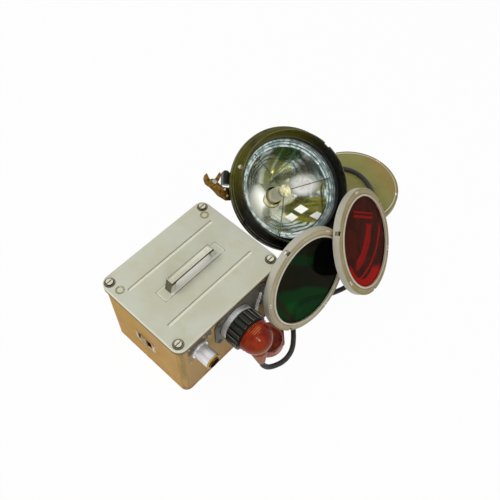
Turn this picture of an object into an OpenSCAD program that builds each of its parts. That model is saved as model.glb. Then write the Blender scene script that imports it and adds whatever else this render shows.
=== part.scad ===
// Signal lamp set: battery box, lamp head, two colour filters, cover disc, lead with plug and dust cap.
// The frame's origin is on the floor under the middle of the set, without the lead. The box's front faces -Y.

/* [Battery box] */
// Length of the lid
lid_l = 210; // [190:1:240]
// Width of the lid, front to back
lid_w = 167; // [155:1:185]
// Height of the closed box
box_h = 150; // [136:1:170]
// Corner radius of the lid, seen from above
lid_r = 15; // [12:0.5:20]
// Depth of the lid with its turned-down edge
lid_depth = 10.5; // [8:0.5:12]
// Thickness of the lid's top
lid_t = 3; // [2.5:0.1:4]
// How far the lid stands out past the case
lid_overhang = 2.9; // [2.4:0.1:4]
// Wall thickness of the turned-down edge
skirt_t = 2; // [1.5:0.1:2.2]
// Wall thickness of the case
sheet = 2; // [1.6:0.1:2.5]
// Rounding of the case's lower edge
case_edge_r = 4; // [2:0.5:4]
// Thickness of the gasket under the lid
gasket_t = 2.5; // [1.5:0.1:3]
// Distance of the lid screws from the lid's short edges
screw_in_x = 11.2; // [10.5:0.1:12.5]
// Distance of the lid screws from the lid's long edges
screw_in_y = 12.2; // [11.5:0.1:13.5]
// Shank diameter of the lid screws
screw_d = 6; // [4:0.5:6]
// Head diameter of the lid screws
screw_head_d = 11.6; // [9:0.2:13]
// Diameter of the cup washers
washer_d = 16; // [14:0.5:17]
// Length of the two pressed grooves in the lid
groove_l = 168; // [120:1:175]
// Distance of each groove from the middle of the lid
groove_y = 41.4; // [30:0.2:50]
// Width of each groove at the lid's surface
groove_w = 5; // [3:0.2:7]
// Depth of each groove
groove_t = 1.2; // [0.6:0.1:1.5]

/* [Carrying handle] */
// Length of the handle along the lid
handle_l = 93; // [80:1:110]
// Height of the handle above the lid
handle_h = 23; // [20:0.5:30]
// Width of the handle
handle_w = 12; // [9:0.5:16]
// Thickness of the grip bar
handle_bar_t = 7; // [4:0.5:8]
// Thickness of each leg
handle_leg_t = 8; // [6:0.5:10]
// How far each leg leans in from foot to bar
handle_lean = 6.5; // [3:0.5:9]
// Length of the pressed outline round the handle
outline_l = 120; // [118:1:130]
// Width of the pressed outline round the handle
outline_w = 21.4; // [20:0.2:30]

/* [Strap loops] */
// Height of the loops' middle above the floor
loop_z = 75; // [60:1:90]
// Opening of each loop along the face
loop_l = 30; // [24:1:40]
// Opening of each loop in height
loop_h = 20; // [14:1:26]
// Depth of the pocket behind each loop
loop_depth = 9; // [7:0.5:12]
// Width of the bridge over the pocket
bridge_w = 11; // [8:0.5:14]

/* [Lead outlet] */
// Outlet's middle, to the right of the box's middle
outlet_x = 3; // [-10:1:15]
// Distance of the outlet's middle below the top of the box
outlet_down = 48; // [46:1:50]
// Length of the outlet's mounting plate
plate_l = 106; // [100:1:112]
// Height of the outlet's mounting plate
plate_h = 68; // [66:1:70]
// Thickness of the mounting plate
plate_t = 2.5; // [1.5:0.1:4]
// Outer radius of the outlet's thread
neck_r = 25; // [24:0.1:26]
// Bore radius of the outlet's collar
neck_bore = 21; // [18:0.1:22]
// Outer radius of the outlet's flange
flange_r = 29; // [28:0.1:31]
// Outer radius of the coupling ring without its ribs
ring_r = 29.6; // [28.6:0.1:32]
// Height of the ribs on the coupling ring
rib_h = 1.6; // [0.8:0.1:2.5]
// Number of ribs on the coupling ring
rib_n = 20; // [14:1:26]
// Length of the coupling ring
ring_l = 24; // [22:0.5:30]

/* [Plug] */
// Radius of the plug's dome
dome_r = 25.5; // [23:0.1:27]
// Radius of the plug's neck inside the coupling ring
plug_neck_r = 22; // [20:0.1:22.5]
// Tilt of the plug's tail from straight down
tail_tilt = 12; // [5:1:20]
// Distance from the dome's middle to the end of the tail
tail_l = 63.4; // [55:0.1:70]
// Radius of the tail where it joins the dome
tail_r = 13.5; // [11:0.1:14]
// Number of contact pins
pin_n = 4; // [2:1:6]
// Radius of the contact pins
pin_r = 2.4; // [1.8:0.1:3]

/* [Charging socket] */
// Socket's middle, to the left of the box's middle
charge_x = 67; // [60:1:75]
// Distance of the socket's middle below the top of the box
charge_down = 42; // [37:1:50]
// Outer radius of the socket
charge_r = 12.5; // [11:0.1:14]
// Length of the socket
charge_l = 30; // [24:0.5:36]

/* [Dust cap] */
// Outer radius of the cap's rim
cap_r = 29; // [28:0.1:31]
// Height of the cap
cap_h = 18; // [14:0.5:22]
// Radius of one chain link
link_r = 2.6; // [2:0.1:3.2]
// Wire radius of one chain link
link_wire = 0.6; // [0.4:0.05:0.8]

/* [Filters] */
// Outer radius of the filters and the cover disc
filter_r = 88; // [80:0.5:92]
// Depth of the filters and the cover disc
filter_t = 12; // [10:0.5:14]
// Sheet thickness of the filter rings
filter_wall = 1.5; // [1:0.1:2]
// Radius of the opening in a filter ring
filter_open_r = 74.5; // [68:0.5:76]
// Thickness of the filter glass
filter_glass_t = 3; // [2:0.1:4]
// Lean of the green filter: 90 stands upright
green_tilt = 73; // [68:0.5:78]
// Heading of the green filter's face
green_heading = -91.7; // [-95:0.1:-88]
// Lean of the red filter: 90 stands upright
red_tilt = 59.3; // [57:0.1:63]
// Heading of the red filter's face
red_heading = -70.3; // [-74:0.1:-67]

/* [Lamp head] */
// Tilt of the lamp's face from lying flat
lamp_tilt = 33.8; // [30:0.1:36]
// Heading of the lamp's face
lamp_heading = -99; // [-102:0.5:-96]
// Depth of the hood in front of the glass
hood_depth = 18.5; // [17:0.5:22]
// Wall thickness of the hood
hood_wall = 1.4; // [1:0.1:2]
// Width of the three notches in the hood
notch_w = 10; // [7:0.5:14]
// Largest radius of the rim behind the hood
rim_r = 100.7; // [99:0.1:104]
// Length of the rim
rim_l = 16; // [15:0.5:20]
// Radius of the clear glass opening
glass_open_r = 81.3; // [78:0.1:83]
// Thickness of the front glass
glass_t = 4; // [3:0.1:5]
// Depth from the lip to the end of the rear shell
shell_end = 120; // [116:1:126]
// Wall thickness of the rear shell
shell_wall = 2; // [1.5:0.1:3]
// Radius of the rear grip
grip_r = 19; // [16:0.5:22]
// Depth from the lip to the middle of the grip's round end
grip_end = 186; // [180:1:195]

/* [Inside the lamp] */
// Radius of the reflector bowl's mouth
bowl_r = 70; // [66:0.5:74]
// Depth of the reflector bowl
bowl_depth = 56; // [48:0.5:60]
// Wall thickness of the reflector
bowl_wall = 1.2; // [0.8:0.1:2]
// Radius of the bulb's glass
bulb_r = 12; // [9:0.5:14]
// Radius of the small shield in front of the bulb
shield_r = 11; // [9:0.5:13]

/* [Signal key] */
// Angle of the key round the rim, from the side nearest the floor
key_angle = -124.5; // [-135:0.5:-115]

/* [Lead] */
// Diameter of the lead
lead_d = 8.5; // [7:0.1:9]

/* [Hidden] */
$fn = 96;

// Clearance between parts that slip over each other
slip = 0.2;
// Gap left where two loose pieces touch
touch = 0.3;
// Running clearance round a turning ring
turn = 0.25;

// Battery box
case_l = lid_l - 2 * lid_overhang;
case_w = lid_w - 2 * lid_overhang;
case_r = lid_r - lid_overhang;
case_top = box_h - lid_t - gasket_t;
seat_w = 9;
seat_t = 2;
seat_r = 4;
front = -case_w / 2;
gasket_in = 0.7;
gasket_w = 3.8;
screw_x = lid_l / 2 - screw_in_x;
screw_y = lid_w / 2 - screw_in_y;
post_wall = 2.6;
post_r = screw_d / 2 + post_wall;
post_l = 34;
washer_t = 0.8;
lid_edge_r = 2;
screw_reach = 24;
screw_hole_d = screw_d + 0.6;
screw_head_h = 2.4;
screw_taper = 1.4;
screw_slot_w = 1.4;
screw_slot_t = 1.2;
groove_floor = 1.6;
outline_r = 4;
line_w = 1.6;
line_t = 0.6;
handle_bevel = 3;
finger_bevel = 2;
handle_screw_r = 2;
handle_screw_x = handle_l / 2 - handle_leg_t / 2 - 0.8;
handle_screw_l = 9;
handle_screw_head_r = 4;
handle_screw_head_t = 2.2;

// Strap loops
pocket_wall = 1.5;
loop_rim = 2.5;
loop_proud = 1.2;
bridge_t = 2;

// Batteries
battery_gap = 6;
battery_play = 4.1;
battery_l = case_l / 2 - loop_depth - battery_play - battery_gap / 2;
battery_w = 96;
battery_h = 92;
battery_r = 4;
battery_back = 3;
battery_y = case_w / 2 - sheet - battery_w / 2 - battery_back;
cell_n = 4;
cell_cap_r = 6;
cell_cap_h = 6;
terminal_h = 8;
terminal_r = 3;
terminal_x = 24;
link_w = 12;
link_t = 1.5;

// Outlet and plug, measured outward from the case's front
outlet_z = box_h - outlet_down;
plate_shift = 14;
plate_r = 16;
plate_screw_in = 8;
plate_screw_r = 3.6;
plate_screw_h = 1.8;
flange_t = 9.5;
flange_top = plate_t + flange_t;
neck_l = 10;
neck_top = flange_top + neck_l;
barrel_in = 12;
barrel_r = neck_bore + 1.5;
contact_r = pin_r + 0.9;
contact_in = 4;
ring_base = flange_top + turn;
ring_end = ring_base + ring_l;
ring_lip = 6;
rib_w = 5.2;
rib_in = 0.6;
rib_short = 2;
shoulder_r = neck_r - 0.4;
shoulder_base = neck_top + touch;
shoulder_top = ring_end - ring_lip - touch;
dome_base = ring_end + touch;
dome_mid = dome_base + 8.5;
dome_step_n = 4;
dome_step = 1.9;
dome_bead = 0.7;
tail_boss_r = tail_r + 1.5;
tail_top = dome_r + 3.5;
tail_collar = 4;
tail_end_r = lead_d / 2 + 2.2;
pin_circle = 12;
pin_root = 8;
pin_reach = 9;
insert_back = -10;
insert_top = 8;

// Charging socket
charge_z = box_h - charge_down;
charge_plate_t = 0.8;
charge_flange_r = charge_r + 2.5;
charge_flange_t = 2;
charge_bore = charge_r - 3;
charge_barrel_r = charge_bore - 1;
charge_barrel_in = 8;
charge_sleeve_t = 1.3;
charge_sleeve_out = 1.5;
charge_floor = 5;
charge_shank_r = 3;
charge_shank_in = 6;
charge_pin_r = 2;
charge_pin_l = 19;

// Blank plates: one under the socket's flange, a small tag between the two sockets
label_l = 34;
label_h = 46;
label_r = 3;
label_shift = 4;
label_rivet_in = 3;
tag_x = 47.5;
tag_down = 24;
tag_l = 12;
tag_h = 16;
tag_t = 1;
tag_r = 2;
tag_rivet_down = 4.5;

// Dust cap on the floor in front of the box, and its chain
cap_x = 47;
cap_y = front - 32.4;
cap_bore = neck_r + 0.4;
cap_floor = 4;
cap_grip_h = 7;
cap_skirt_r = cap_r - 2;
cap_ring_down = 9;
cap_ring_h = 6;
cap_ring_t = 1.3;
cap_lug_angle = 50.5;
cap_lug_reach = cap_r + 2.2;
cap_lug_top = 8;
lug_w = 4;
lug_t = 2;
lug_in = 0.8;
link_out = link_r + link_wire + touch;
link_overlap = 0.3;
chain_y = front - 6.4;
chain_from = [57, chain_y, outlet_z + 16];
chain_to = [cap_x + cap_lug_reach * cos(cap_lug_angle), cap_y + cap_lug_reach * sin(cap_lug_angle),
    cap_lug_top + link_out];
chain_route = [chain_from, [50, chain_y, 0.81 * chain_from[2]], [46.5, chain_y, 0.61 * chain_from[2]],
    [50, chain_y, 0.41 * chain_from[2]], [57, chain_y, 0.26 * chain_from[2]],
    [cap_x + 19, front - 4.9, cap_h + 2], chain_to];

// Directions of the tilted faces
function face_dir(tilt, heading) = [sin(tilt) * cos(heading), sin(tilt) * sin(heading), cos(tilt)];
function unit(v) = v / norm(v);
// Point of a tilted circle that lies farthest along a direction
function rim_point(middle, n, r, dir) = middle + r * unit(dir - (dir * n) * n);
// Height of a tilted disc's front middle when its back edge stands on the floor
function standing_z(tilt) = filter_r * sin(tilt) + filter_t * cos(tilt);

// Green filter, leaning back on the rounded top edge of the lid's front, near its right corner
green_n = face_dir(green_tilt, green_heading);
green_out = 31.7;
green_x = lid_l / 2 + green_out;
green_z = standing_z(green_tilt);
lean_half = sqrt(pow(filter_r, 2) - pow((box_h - green_z) / sin(green_tilt), 2));
lean_at = [green_x - lean_half, lid_edge_r - lid_w / 2, box_h - lid_edge_r];
green_y = lean_at[1] + (filter_t + touch + lid_edge_r + (lean_at[0] - green_x) * green_n[0]
    + (lean_at[2] - green_z) * green_n[2]) / green_n[1];
green_at = [green_x, green_y, green_z];

// Red filter, leaning against the green one's edge
red_n = face_dir(red_tilt, red_heading);
red_out = 124.8;
red_x = green_x + red_out;
red_z = standing_z(red_tilt);
green_edge = rim_point(green_at, green_n, filter_r, red_n);
red_y = green_edge[1] + (filter_t + touch + (green_edge[0] - red_x) * red_n[0]
    + (green_edge[2] - red_z) * red_n[2]) / red_n[1];
red_at = [red_x, red_y, red_z];

// Lamp head, standing on its grip with its lip against the red filter
lamp_n = face_dir(lamp_tilt, lamp_heading);
hood_in_r = filter_r + slip;
hood_r = hood_in_r + hood_wall;
butt_r = grip_r + 1;
lamp_out = 5.3;
lamp_x = lid_l / 2 + rim_r + lamp_out;
lamp_z = butt_r + grip_end * cos(lamp_tilt);
lip_reach = rim_point([0, 0, 0], lamp_n, hood_r, red_n);
lamp_y = red_y - (filter_t + touch + lip_reach * red_n + (lamp_x - red_x) * red_n[0]
    + (lamp_z - red_z) * red_n[2]) / red_n[1];
lamp_at = [lamp_x, lamp_y, lamp_z];

// Cover disc, flat on the floor beside the lamp
cover_out = 180.7;
cover_back = 2.5;
cover_at = [lamp_x + cover_out, lamp_y + cover_back, filter_t];

// Middle of the set on the floor
left_end = max(lid_l / 2, case_l / 2 + loop_proud + bridge_t);
shift_x = -(cover_at[0] + filter_r - left_end) / 2;
red_low = red_y - filter_r * sqrt(1 - red_n[1] * red_n[1]);
butt_back = lamp_y - grip_end * lamp_n[1] + butt_r;
shift_y = -(red_low + butt_back) / 2;

// Lamp head, along its axis from the lip back
hood_ledge = hood_depth - 2.5;
notch_depth = 5;
notch_angles = [-131, -11, 109];
rim_back = hood_depth + rim_l;
rim_front_r = rim_r - 5.7;
rim_ridge_out = 2.85;
rim_ridge_pitch = 2.6;
rim_ridge_t = 1.6;
rim_ridge_h = 1.3;
rim_ridge_n = 3;
rim_band = 3.2;
rim_step = 2;
rim_bore = glass_open_r + 4;
glass_r = rim_bore - 0.3;
seal_t = 1.6;
seal_back = hood_depth + glass_t + seal_t;
step_n = 3;
step_depth = 10;
step_wall = 1.4;
bowl_top = seal_back + step_depth;
bowl_back = bowl_top + bowl_depth;
bowl_hole_r = 15;
bowl_points = 14;
shell_front_r = rim_r - 5.5;
shell_bend = 0.55;
shell_bunch = 1.6;
shell_points = 12;
shell_neck_r = 24;
neck_back = 12;
rear_end = shell_end + neck_back;
bulb_at = bowl_top + 34;
bulb_base_r = 8;
bulb_base_l = 16;
bulb_base_at = bulb_at + 8;
holder_r = 12;
holder_at = bulb_at + 11;
shield_at = bowl_top + 10;
shield_rise = 7;
shield_t = 1;
spider_wire = 0.7;
spider_in = 0.6;
spider_angles = [-165, 75, -45];
grip_flange_h = 3;
grip_rib_n = 6;
gland_boss_r = 8.5;
gland_depth = 170;
gland_l = 20;
gland_nut_r = 7.5;
gland_nut_h = 5;
gland_cone_r = 7;

// Signal key beside the rim, in a frame with +X straight out from the lamp's axis and +Z forward
strap_depth = 42;
strap_w = 9;
strap_t = 2.2;
strap_from = -10;
strap_to = 21.5;
strap_front_r = shell_at(strap_depth - strap_w / 2) + touch;
strap_back_r = shell_at(strap_depth + strap_w / 2) + touch;
key_seat_x = strap_front_r + strap_t + touch;
key_block_x = 11.6;
key_block_z = [-6, 6.7];
key_plate_t = 2.5;
key_pivot_x = rim_r + 22.3;
key_pin_r = 2;
key_eye_r = 6.5;
key_play = 0.05;
key_spring_l = 2;
key_spring_w = 1.1;
lever_base = key_plate_t / 2 + key_spring_l + slip;
lever_t = 4;
pin_head_r = 4.2;
pin_head_h = 2.2;
pin_nut_r = 3.8;
pin_nut_h = 2.4;
pin_tip = 0.6;
key_screw_at = [[-19.5, 8.5], [-24, 18]];
key_screw_r = 2.1;
key_screw_h = 1.4;

// Filter details
bead_r = 1.3;
slot_w = 7;
feature_turn = [18, 33, 0];
slot_down = 4;
filter_glass_r = filter_open_r + 5.5;
glass_front = filter_wall + 0.4;
clamp_t = 1.4;
clamp_r = filter_open_r + 4;
catch_w = 9;
catch_t = 0.6;
catch_at = filter_r - 4;
catch_in = 2;
catch_short = 1.5;
rivet_r = 1.3;
rivet_gap = 5;
rivet_h = 0.7;

// Lead, by stretches: shares of the fall from the tail, then places measured from the lid's front right
// corner on the floor, up the cover disc's edge, over the disc, and up to the lamp
lead_sides = 10;
lead_z = lead_d / 2 + 0.05;
cover_lead_z = filter_t + rivet_h + lead_z;
lead_fall = [[0, -1.7, 0.776], [3, -4.7, 0.496], [10, -8.2, 0.216], [22, -12.7, 0.048]];
lead_floor_run = [
    [-66, -74.4], [-52, -73.9], [-39, -69.4], [-27, -61.4], [-16, -51.9], [-5, -41.4], [8, -31.4], [25, -26.4],
    [42, -29.4], [58, -38.4], [75, -48.9], [93, -57.9], [112, -63.4], [133, -63.4], [155, -57.4], [177, -48.4]];
lead_step = [[199, -38.9, 5.2], [220, -29.9, 10.5], [240, -20.9, 15.8]];
lead_cover_run = [
    [259, -10.4], [278, 3.6], [295, 21.6], [308, 43.6], [314, 67.6], [310, 90.6], [298, 109.6], [280, 123.6]];
lead_climb = [[259, 132.6, 17.3], [237, 138.6, 20], [215, 141.6, 25], [196, 144.1, 31], [179, 146.6, 33.4]];

module at_box() {
    translate([shift_x, shift_y, 0]) children();
}

module tilted(at, tilt, heading) {
    translate([shift_x + at[0], shift_y + at[1], at[2]]) rotate([0, tilt, heading]) children();
}

module at_lamp() {
    tilted(lamp_at, lamp_tilt, lamp_heading) children();
}

// Children are drawn with +Z out of the case's front and +Y up
module on_front(x, z) {
    at_box() translate([x, front, z]) rotate([90, 0, 0]) children();
}

module rounded_2d(l, w, r) {
    square([l - 2 * r, w], center = true);
    square([l, w - 2 * r], center = true);
    for (x = [-1, 1], y = [-1, 1]) translate([x * (l / 2 - r), y * (w / 2 - r)]) circle(r);
}

module rounded(l, w, r, h) {
    linear_extrude(h) rounded_2d(l, w, r);
}

// Outline outside a rounded edge of radius e, with the wall at x = 0 and the floor at y = 0
function round_cut(e) = concat(
    [[1, -1], [1, e]],
    [for (a = [0 : 15 : 90]) [e * (cos(a) - 1), e * (1 - sin(a))]],
    [[-e, -1]]);

// What comes off the lower edge of a rounded block to round it
module edge_cut(l, w, r, e) {
    for (side = [0, 180]) rotate([0, 0, side]) {
        translate([l / 2, 0, 0]) rotate([90, 0, 0])
            linear_extrude(w - 2 * r, center = true) polygon(round_cut(e));
        translate([0, w / 2, 0]) rotate([90, 0, 90])
            linear_extrude(l - 2 * r, center = true) polygon(round_cut(e));
        translate([l / 2 - r, w / 2 - r, 0])
            rotate_extrude(angle = 90) translate([r, 0]) polygon(round_cut(e));
        translate([r - l / 2, w / 2 - r, 0]) rotate([0, 0, 90])
            rotate_extrude(angle = 90) translate([r, 0]) polygon(round_cut(e));
    }
}

// Washer-like ring with its base at z
module tube(r_out, r_in, z, h) {
    translate([0, 0, z]) difference() {
        cylinder(r = r_out, h = h);
        translate([0, 0, -1]) cylinder(r = r_in, h = h + 2);
    }
}

module at_screws() {
    for (x = [-1, 1], y = [-1, 1]) translate([x * screw_x, y * screw_y, 0]) children();
}

module case() {
    color("burlywood") at_box() difference() {
        union() {
            difference() {
                rounded(case_l, case_w, case_r, case_top);
                translate([0, 0, sheet])
                    rounded(case_l - 2 * sheet, case_w - 2 * sheet, case_r - sheet, case_top);
                edge_cut(case_l, case_w, case_r, case_edge_r);
            }
            translate([0, 0, case_top - seat_t]) linear_extrude(seat_t) difference() {
                rounded_2d(case_l - sheet, case_w - sheet, case_r - sheet / 2);
                rounded_2d(case_l - 2 * seat_w, case_w - 2 * seat_w, seat_r);
            }
            translate([0, 0, case_top - post_l]) at_screws() cylinder(r = post_r, h = post_l);
        }
        translate([0, 0, case_top - post_l - 1]) at_screws() cylinder(d = screw_d + 0.1, h = post_l + 2);
        translate([outlet_x, front, outlet_z]) rotate([90, 0, 0]) translate([0, 0, -sheet - 1])
            cylinder(r = barrel_r + slip, h = sheet + 2);
        translate([-charge_x, front, charge_z]) rotate([90, 0, 0]) translate([0, 0, -sheet - 1])
            cylinder(r = charge_barrel_r + slip, h = sheet + 2);
        for (side = [0, 180]) rotate([0, 0, side]) translate([-case_l / 2, 0, loop_z])
            cube([2 * sheet + 2, loop_l + 2 * pocket_wall + slip, loop_h + 2 * pocket_wall + slip],
                center = true);
    }
}

module gasket_outline(inset) {
    rounded_2d(case_l - 2 * inset, case_w - 2 * inset, case_r - inset);
}

module lid_gasket() {
    color("dimgray") at_box() translate([0, 0, case_top]) linear_extrude(gasket_t) difference() {
        gasket_outline(gasket_in);
        gasket_outline(gasket_in + gasket_w);
    }
}

// Groove with sloped sides, cut down from z = 0
module groove_cut() {
    run = groove_l - groove_w;
    top = groove_w / 2 + (groove_w - groove_floor) / 2;
    rotate([90, 0, 90]) linear_extrude(run, center = true) polygon([
        [-groove_floor / 2, -groove_t], [groove_floor / 2, -groove_t], [top, groove_t], [-top, groove_t]]);
    for (x = [-1, 1]) translate([x * run / 2, 0, -groove_t])
        cylinder(r1 = groove_floor / 2, r2 = top, h = 2 * groove_t);
}

module lid() {
    color("lightgray") at_box() difference() {
        translate([0, 0, box_h - lid_depth]) rounded(lid_l, lid_w, lid_r, lid_depth);
        translate([0, 0, box_h - lid_depth - 1])
            rounded(lid_l - 2 * skirt_t, lid_w - 2 * skirt_t, lid_r - skirt_t, lid_depth - lid_t + 1);
        translate([0, 0, box_h]) mirror([0, 0, 1]) edge_cut(lid_l, lid_w, lid_r, lid_edge_r);
        for (y = [-1, 1]) translate([0, y * groove_y, box_h]) groove_cut();
        translate([0, 0, box_h - line_t]) linear_extrude(line_t + 1) difference() {
            rounded_2d(outline_l, outline_w, outline_r);
            rounded_2d(outline_l - 2 * line_w, outline_w - 2 * line_w, outline_r - line_w);
        }
        translate([0, 0, box_h - lid_t - 1]) at_screws() cylinder(d = screw_hole_d, h = lid_t + 2);
        for (x = [-1, 1]) translate([x * handle_screw_x, 0, box_h - lid_t - 1])
            cylinder(r = handle_screw_r + slip, h = lid_t + 2);
    }
}

module lid_washers() {
    color("silver") at_box() at_screws() translate([0, 0, box_h]) difference() {
        cylinder(d1 = washer_d, d2 = washer_d - 1, h = washer_t);
        translate([0, 0, -1]) cylinder(d = screw_hole_d, h = washer_t + 2);
    }
}

module lid_screws() {
    shank = lid_t + gasket_t + washer_t + screw_reach;
    color("gainsboro") at_box() at_screws() translate([0, 0, box_h + washer_t]) {
        translate([0, 0, -shank]) cylinder(d = screw_d, h = shank);
        difference() {
            cylinder(d1 = screw_head_d, d2 = screw_head_d - screw_taper, h = screw_head_h);
            translate([0, 0, screw_head_h])
                cube([screw_head_d + 1, screw_slot_w, 2 * screw_slot_t], center = true);
        }
    }
}

// Half length of the handle's outer edge at a height above the lid
function leg_x(z) = handle_l / 2 - handle_lean * z / handle_h;
function flipped(p) = [for (i = [len(p) - 1 : -1 : 0]) [-p[i][0], p[i][1]]];

module handle() {
    shoulder = handle_h - handle_bevel;
    under = handle_h - handle_bar_t;
    outer = [[leg_x(0), 0], [leg_x(shoulder), shoulder], [leg_x(handle_h) - handle_bevel, handle_h]];
    inner = [[leg_x(under) - handle_leg_t - finger_bevel, under],
        [leg_x(under) - handle_leg_t, under - finger_bevel], [leg_x(0) - handle_leg_t, 0]];
    edge = [[handle_w / 2, -1], [handle_w / 2, shoulder], [handle_w / 2 - handle_bevel, handle_h + 0.01]];
    color("beige") at_box() translate([0, 0, box_h]) difference() {
        intersection() {
            rotate([90, 0, 0]) linear_extrude(handle_w, center = true)
                polygon(concat(outer, flipped(outer), flipped(inner), inner));
            rotate([90, 0, 90]) linear_extrude(handle_l + 2, center = true)
                polygon(concat(edge, flipped(edge)));
        }
        for (x = [-1, 1]) translate([x * handle_screw_x, 0, -1])
            cylinder(r = handle_screw_r + 0.05, h = handle_screw_l + 2);
    }
}

module handle_screws() {
    color("gray") at_box() for (x = [-1, 1]) translate([x * handle_screw_x, 0, box_h - lid_t]) {
        cylinder(r = handle_screw_r, h = lid_t + handle_screw_l);
        translate([0, 0, -handle_screw_head_t]) cylinder(r = handle_screw_head_r, h = handle_screw_head_t);
    }
}

// Pocket set into a short side, with a bulged bridge that a strap goes behind
module strap_loop() {
    reach = loop_l / 2 + pocket_wall;
    rise = loop_h / 2 + pocket_wall;
    difference() {
        union() {
            translate([0, -reach, -rise]) cube([loop_depth, 2 * reach, 2 * rise]);
            translate([-loop_proud, -reach - loop_rim, -rise - loop_rim])
                cube([loop_proud, 2 * (reach + loop_rim), 2 * (rise + loop_rim)]);
        }
        translate([-loop_proud - 1, -loop_l / 2, -loop_h / 2])
            cube([loop_depth - pocket_wall + loop_proud + 1, loop_l, loop_h]);
    }
    translate([-loop_proud - bridge_t, -bridge_w / 2, -rise]) cube([bridge_t, bridge_w, 2 * rise]);
}

module strap_loops() {
    color("tan") at_box() for (side = [0, 180]) rotate([0, 0, side]) translate([-case_l / 2, 0, loop_z])
        strap_loop();
}

module at_label() {
    on_front(-charge_x - label_shift, charge_z + label_shift) children();
}

module at_tag() {
    on_front(-tag_x, box_h - tag_down) children();
}

module blank_plates() {
    color("dimgray") at_label() linear_extrude(charge_plate_t) difference() {
        rounded_2d(label_l, label_h, label_r);
        translate([label_shift, -label_shift]) circle(charge_barrel_r + slip);
    }
    color("darkkhaki") at_tag() linear_extrude(tag_t) rounded_2d(tag_l, tag_h, tag_r);
}

module plate_rivets() {
    color("silver") {
        at_label() translate([0, 0, charge_plate_t]) for (x = [-1, 1], y = [-1, 1])
            translate([x * (label_l / 2 - label_rivet_in), y * (label_h / 2 - label_rivet_in), 0])
                cylinder(r1 = 1.5, r2 = 1, h = 0.8);
        at_tag() translate([0, -tag_rivet_down, tag_t]) cylinder(r1 = 2, r2 = 1.4, h = 1);
    }
}

module at_batteries() {
    for (side = [-1, 1]) at_box() translate([side * (battery_l + battery_gap) / 2, battery_y, sheet])
        children();
}

module batteries() {
    color("darkslategray") at_batteries() rounded(battery_l, battery_w, battery_r, battery_h);
}

module at_cells() {
    pitch = battery_w / cell_n;
    at_batteries() for (i = [0 : cell_n - 1])
        translate([0, (i + 0.5) * pitch - battery_w / 2, battery_h]) children();
}

module cell_caps() {
    color("darkred") at_cells() cylinder(r = cell_cap_r, h = cell_cap_h);
}

// Terminal posts joined in series by flat strips
module battery_links() {
    color("goldenrod") at_cells() for (x = [-1, 1]) translate([x * terminal_x, 0, 0]) {
        cylinder(r = terminal_r, h = terminal_h);
        translate([-link_w / 2, -link_w / 2, terminal_h]) cube([link_w, link_w, link_t]);
    }
}

module at_plate_screws() {
    for (x = [-1, 1], y = [-1, 1])
        translate([plate_shift + x * (plate_l / 2 - plate_screw_in), y * (plate_h / 2 - plate_screw_in), 0])
            children();
}

module outlet_plate() {
    color("slategray") on_front(outlet_x, outlet_z) linear_extrude(plate_t) difference() {
        translate([plate_shift, 0]) rounded_2d(plate_l, plate_h, plate_r);
        circle(barrel_r + slip);
    }
    color("slategray") at_box()
        translate([chain_from[0] - lug_w / 2, chain_from[1] - lug_t, chain_from[2] + link_out])
            cube([lug_w, front - plate_t / 2 - chain_from[1] + lug_t, lug_t]);
}

module outlet_screws() {
    color("silver") on_front(outlet_x, outlet_z) at_plate_screws() translate([0, 0, plate_t])
        difference() {
            cylinder(r1 = plate_screw_r, r2 = plate_screw_r - 0.8, h = plate_screw_h);
            translate([0, 0, plate_screw_h]) cube([2 * plate_screw_r + 1, 1, 1.6], center = true);
        }
}

module outlet_collar() {
    color("silver") on_front(outlet_x, outlet_z) rotate_extrude() polygon([
        [neck_bore, -barrel_in], [barrel_r, -barrel_in], [barrel_r, plate_t], [flange_r - 1, plate_t],
        [flange_r, plate_t + 1], [flange_r, flange_top - 1], [flange_r - 1, flange_top], [neck_r, flange_top],
        [neck_r, neck_top - 1], [neck_r - 1, neck_top], [neck_bore, neck_top]]);
}

module at_pins() {
    for (i = [0 : pin_n - 1]) rotate([0, 0, 45 + i * 360 / pin_n]) translate([pin_circle, 0, 0]) children();
}

module outlet_insert() {
    color("saddlebrown") on_front(outlet_x, outlet_z) translate([0, 0, insert_back]) difference() {
        cylinder(r = neck_bore, h = insert_top - insert_back);
        translate([0, 0, -1]) at_pins() cylinder(r = contact_r, h = insert_top - insert_back + 2);
    }
}

module outlet_contacts() {
    color("gold") on_front(outlet_x, outlet_z) at_pins()
        tube(contact_r, pin_r + 0.1, insert_back - contact_in, insert_top - insert_back + contact_in);
}

module charge_collar() {
    color("gainsboro") on_front(-charge_x, charge_z) rotate_extrude() polygon([
        [0, -charge_barrel_in], [charge_barrel_r, -charge_barrel_in], [charge_barrel_r, charge_plate_t],
        [charge_flange_r, charge_plate_t], [charge_flange_r, charge_plate_t + charge_flange_t],
        [charge_r, charge_plate_t + charge_flange_t], [charge_r, charge_l - 1], [charge_r - 1, charge_l],
        [charge_bore, charge_l], [charge_bore, charge_floor], [charge_shank_r, charge_floor],
        [charge_shank_r, -charge_shank_in], [0, -charge_shank_in]]);
}

module charge_sleeve() {
    color("goldenrod") on_front(-charge_x, charge_z)
        tube(charge_bore, charge_bore - charge_sleeve_t, charge_floor,
            charge_l - charge_floor + charge_sleeve_out);
}

module charge_contact() {
    color("gold") on_front(-charge_x, charge_z) {
        translate([0, 0, -charge_shank_in]) cylinder(r = charge_shank_r, h = charge_floor + charge_shank_in);
        translate([0, 0, charge_floor]) cylinder(r = charge_pin_r, h = charge_pin_l);
        translate([0, 0, charge_floor + charge_pin_l]) sphere(r = charge_pin_r);
    }
}

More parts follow.
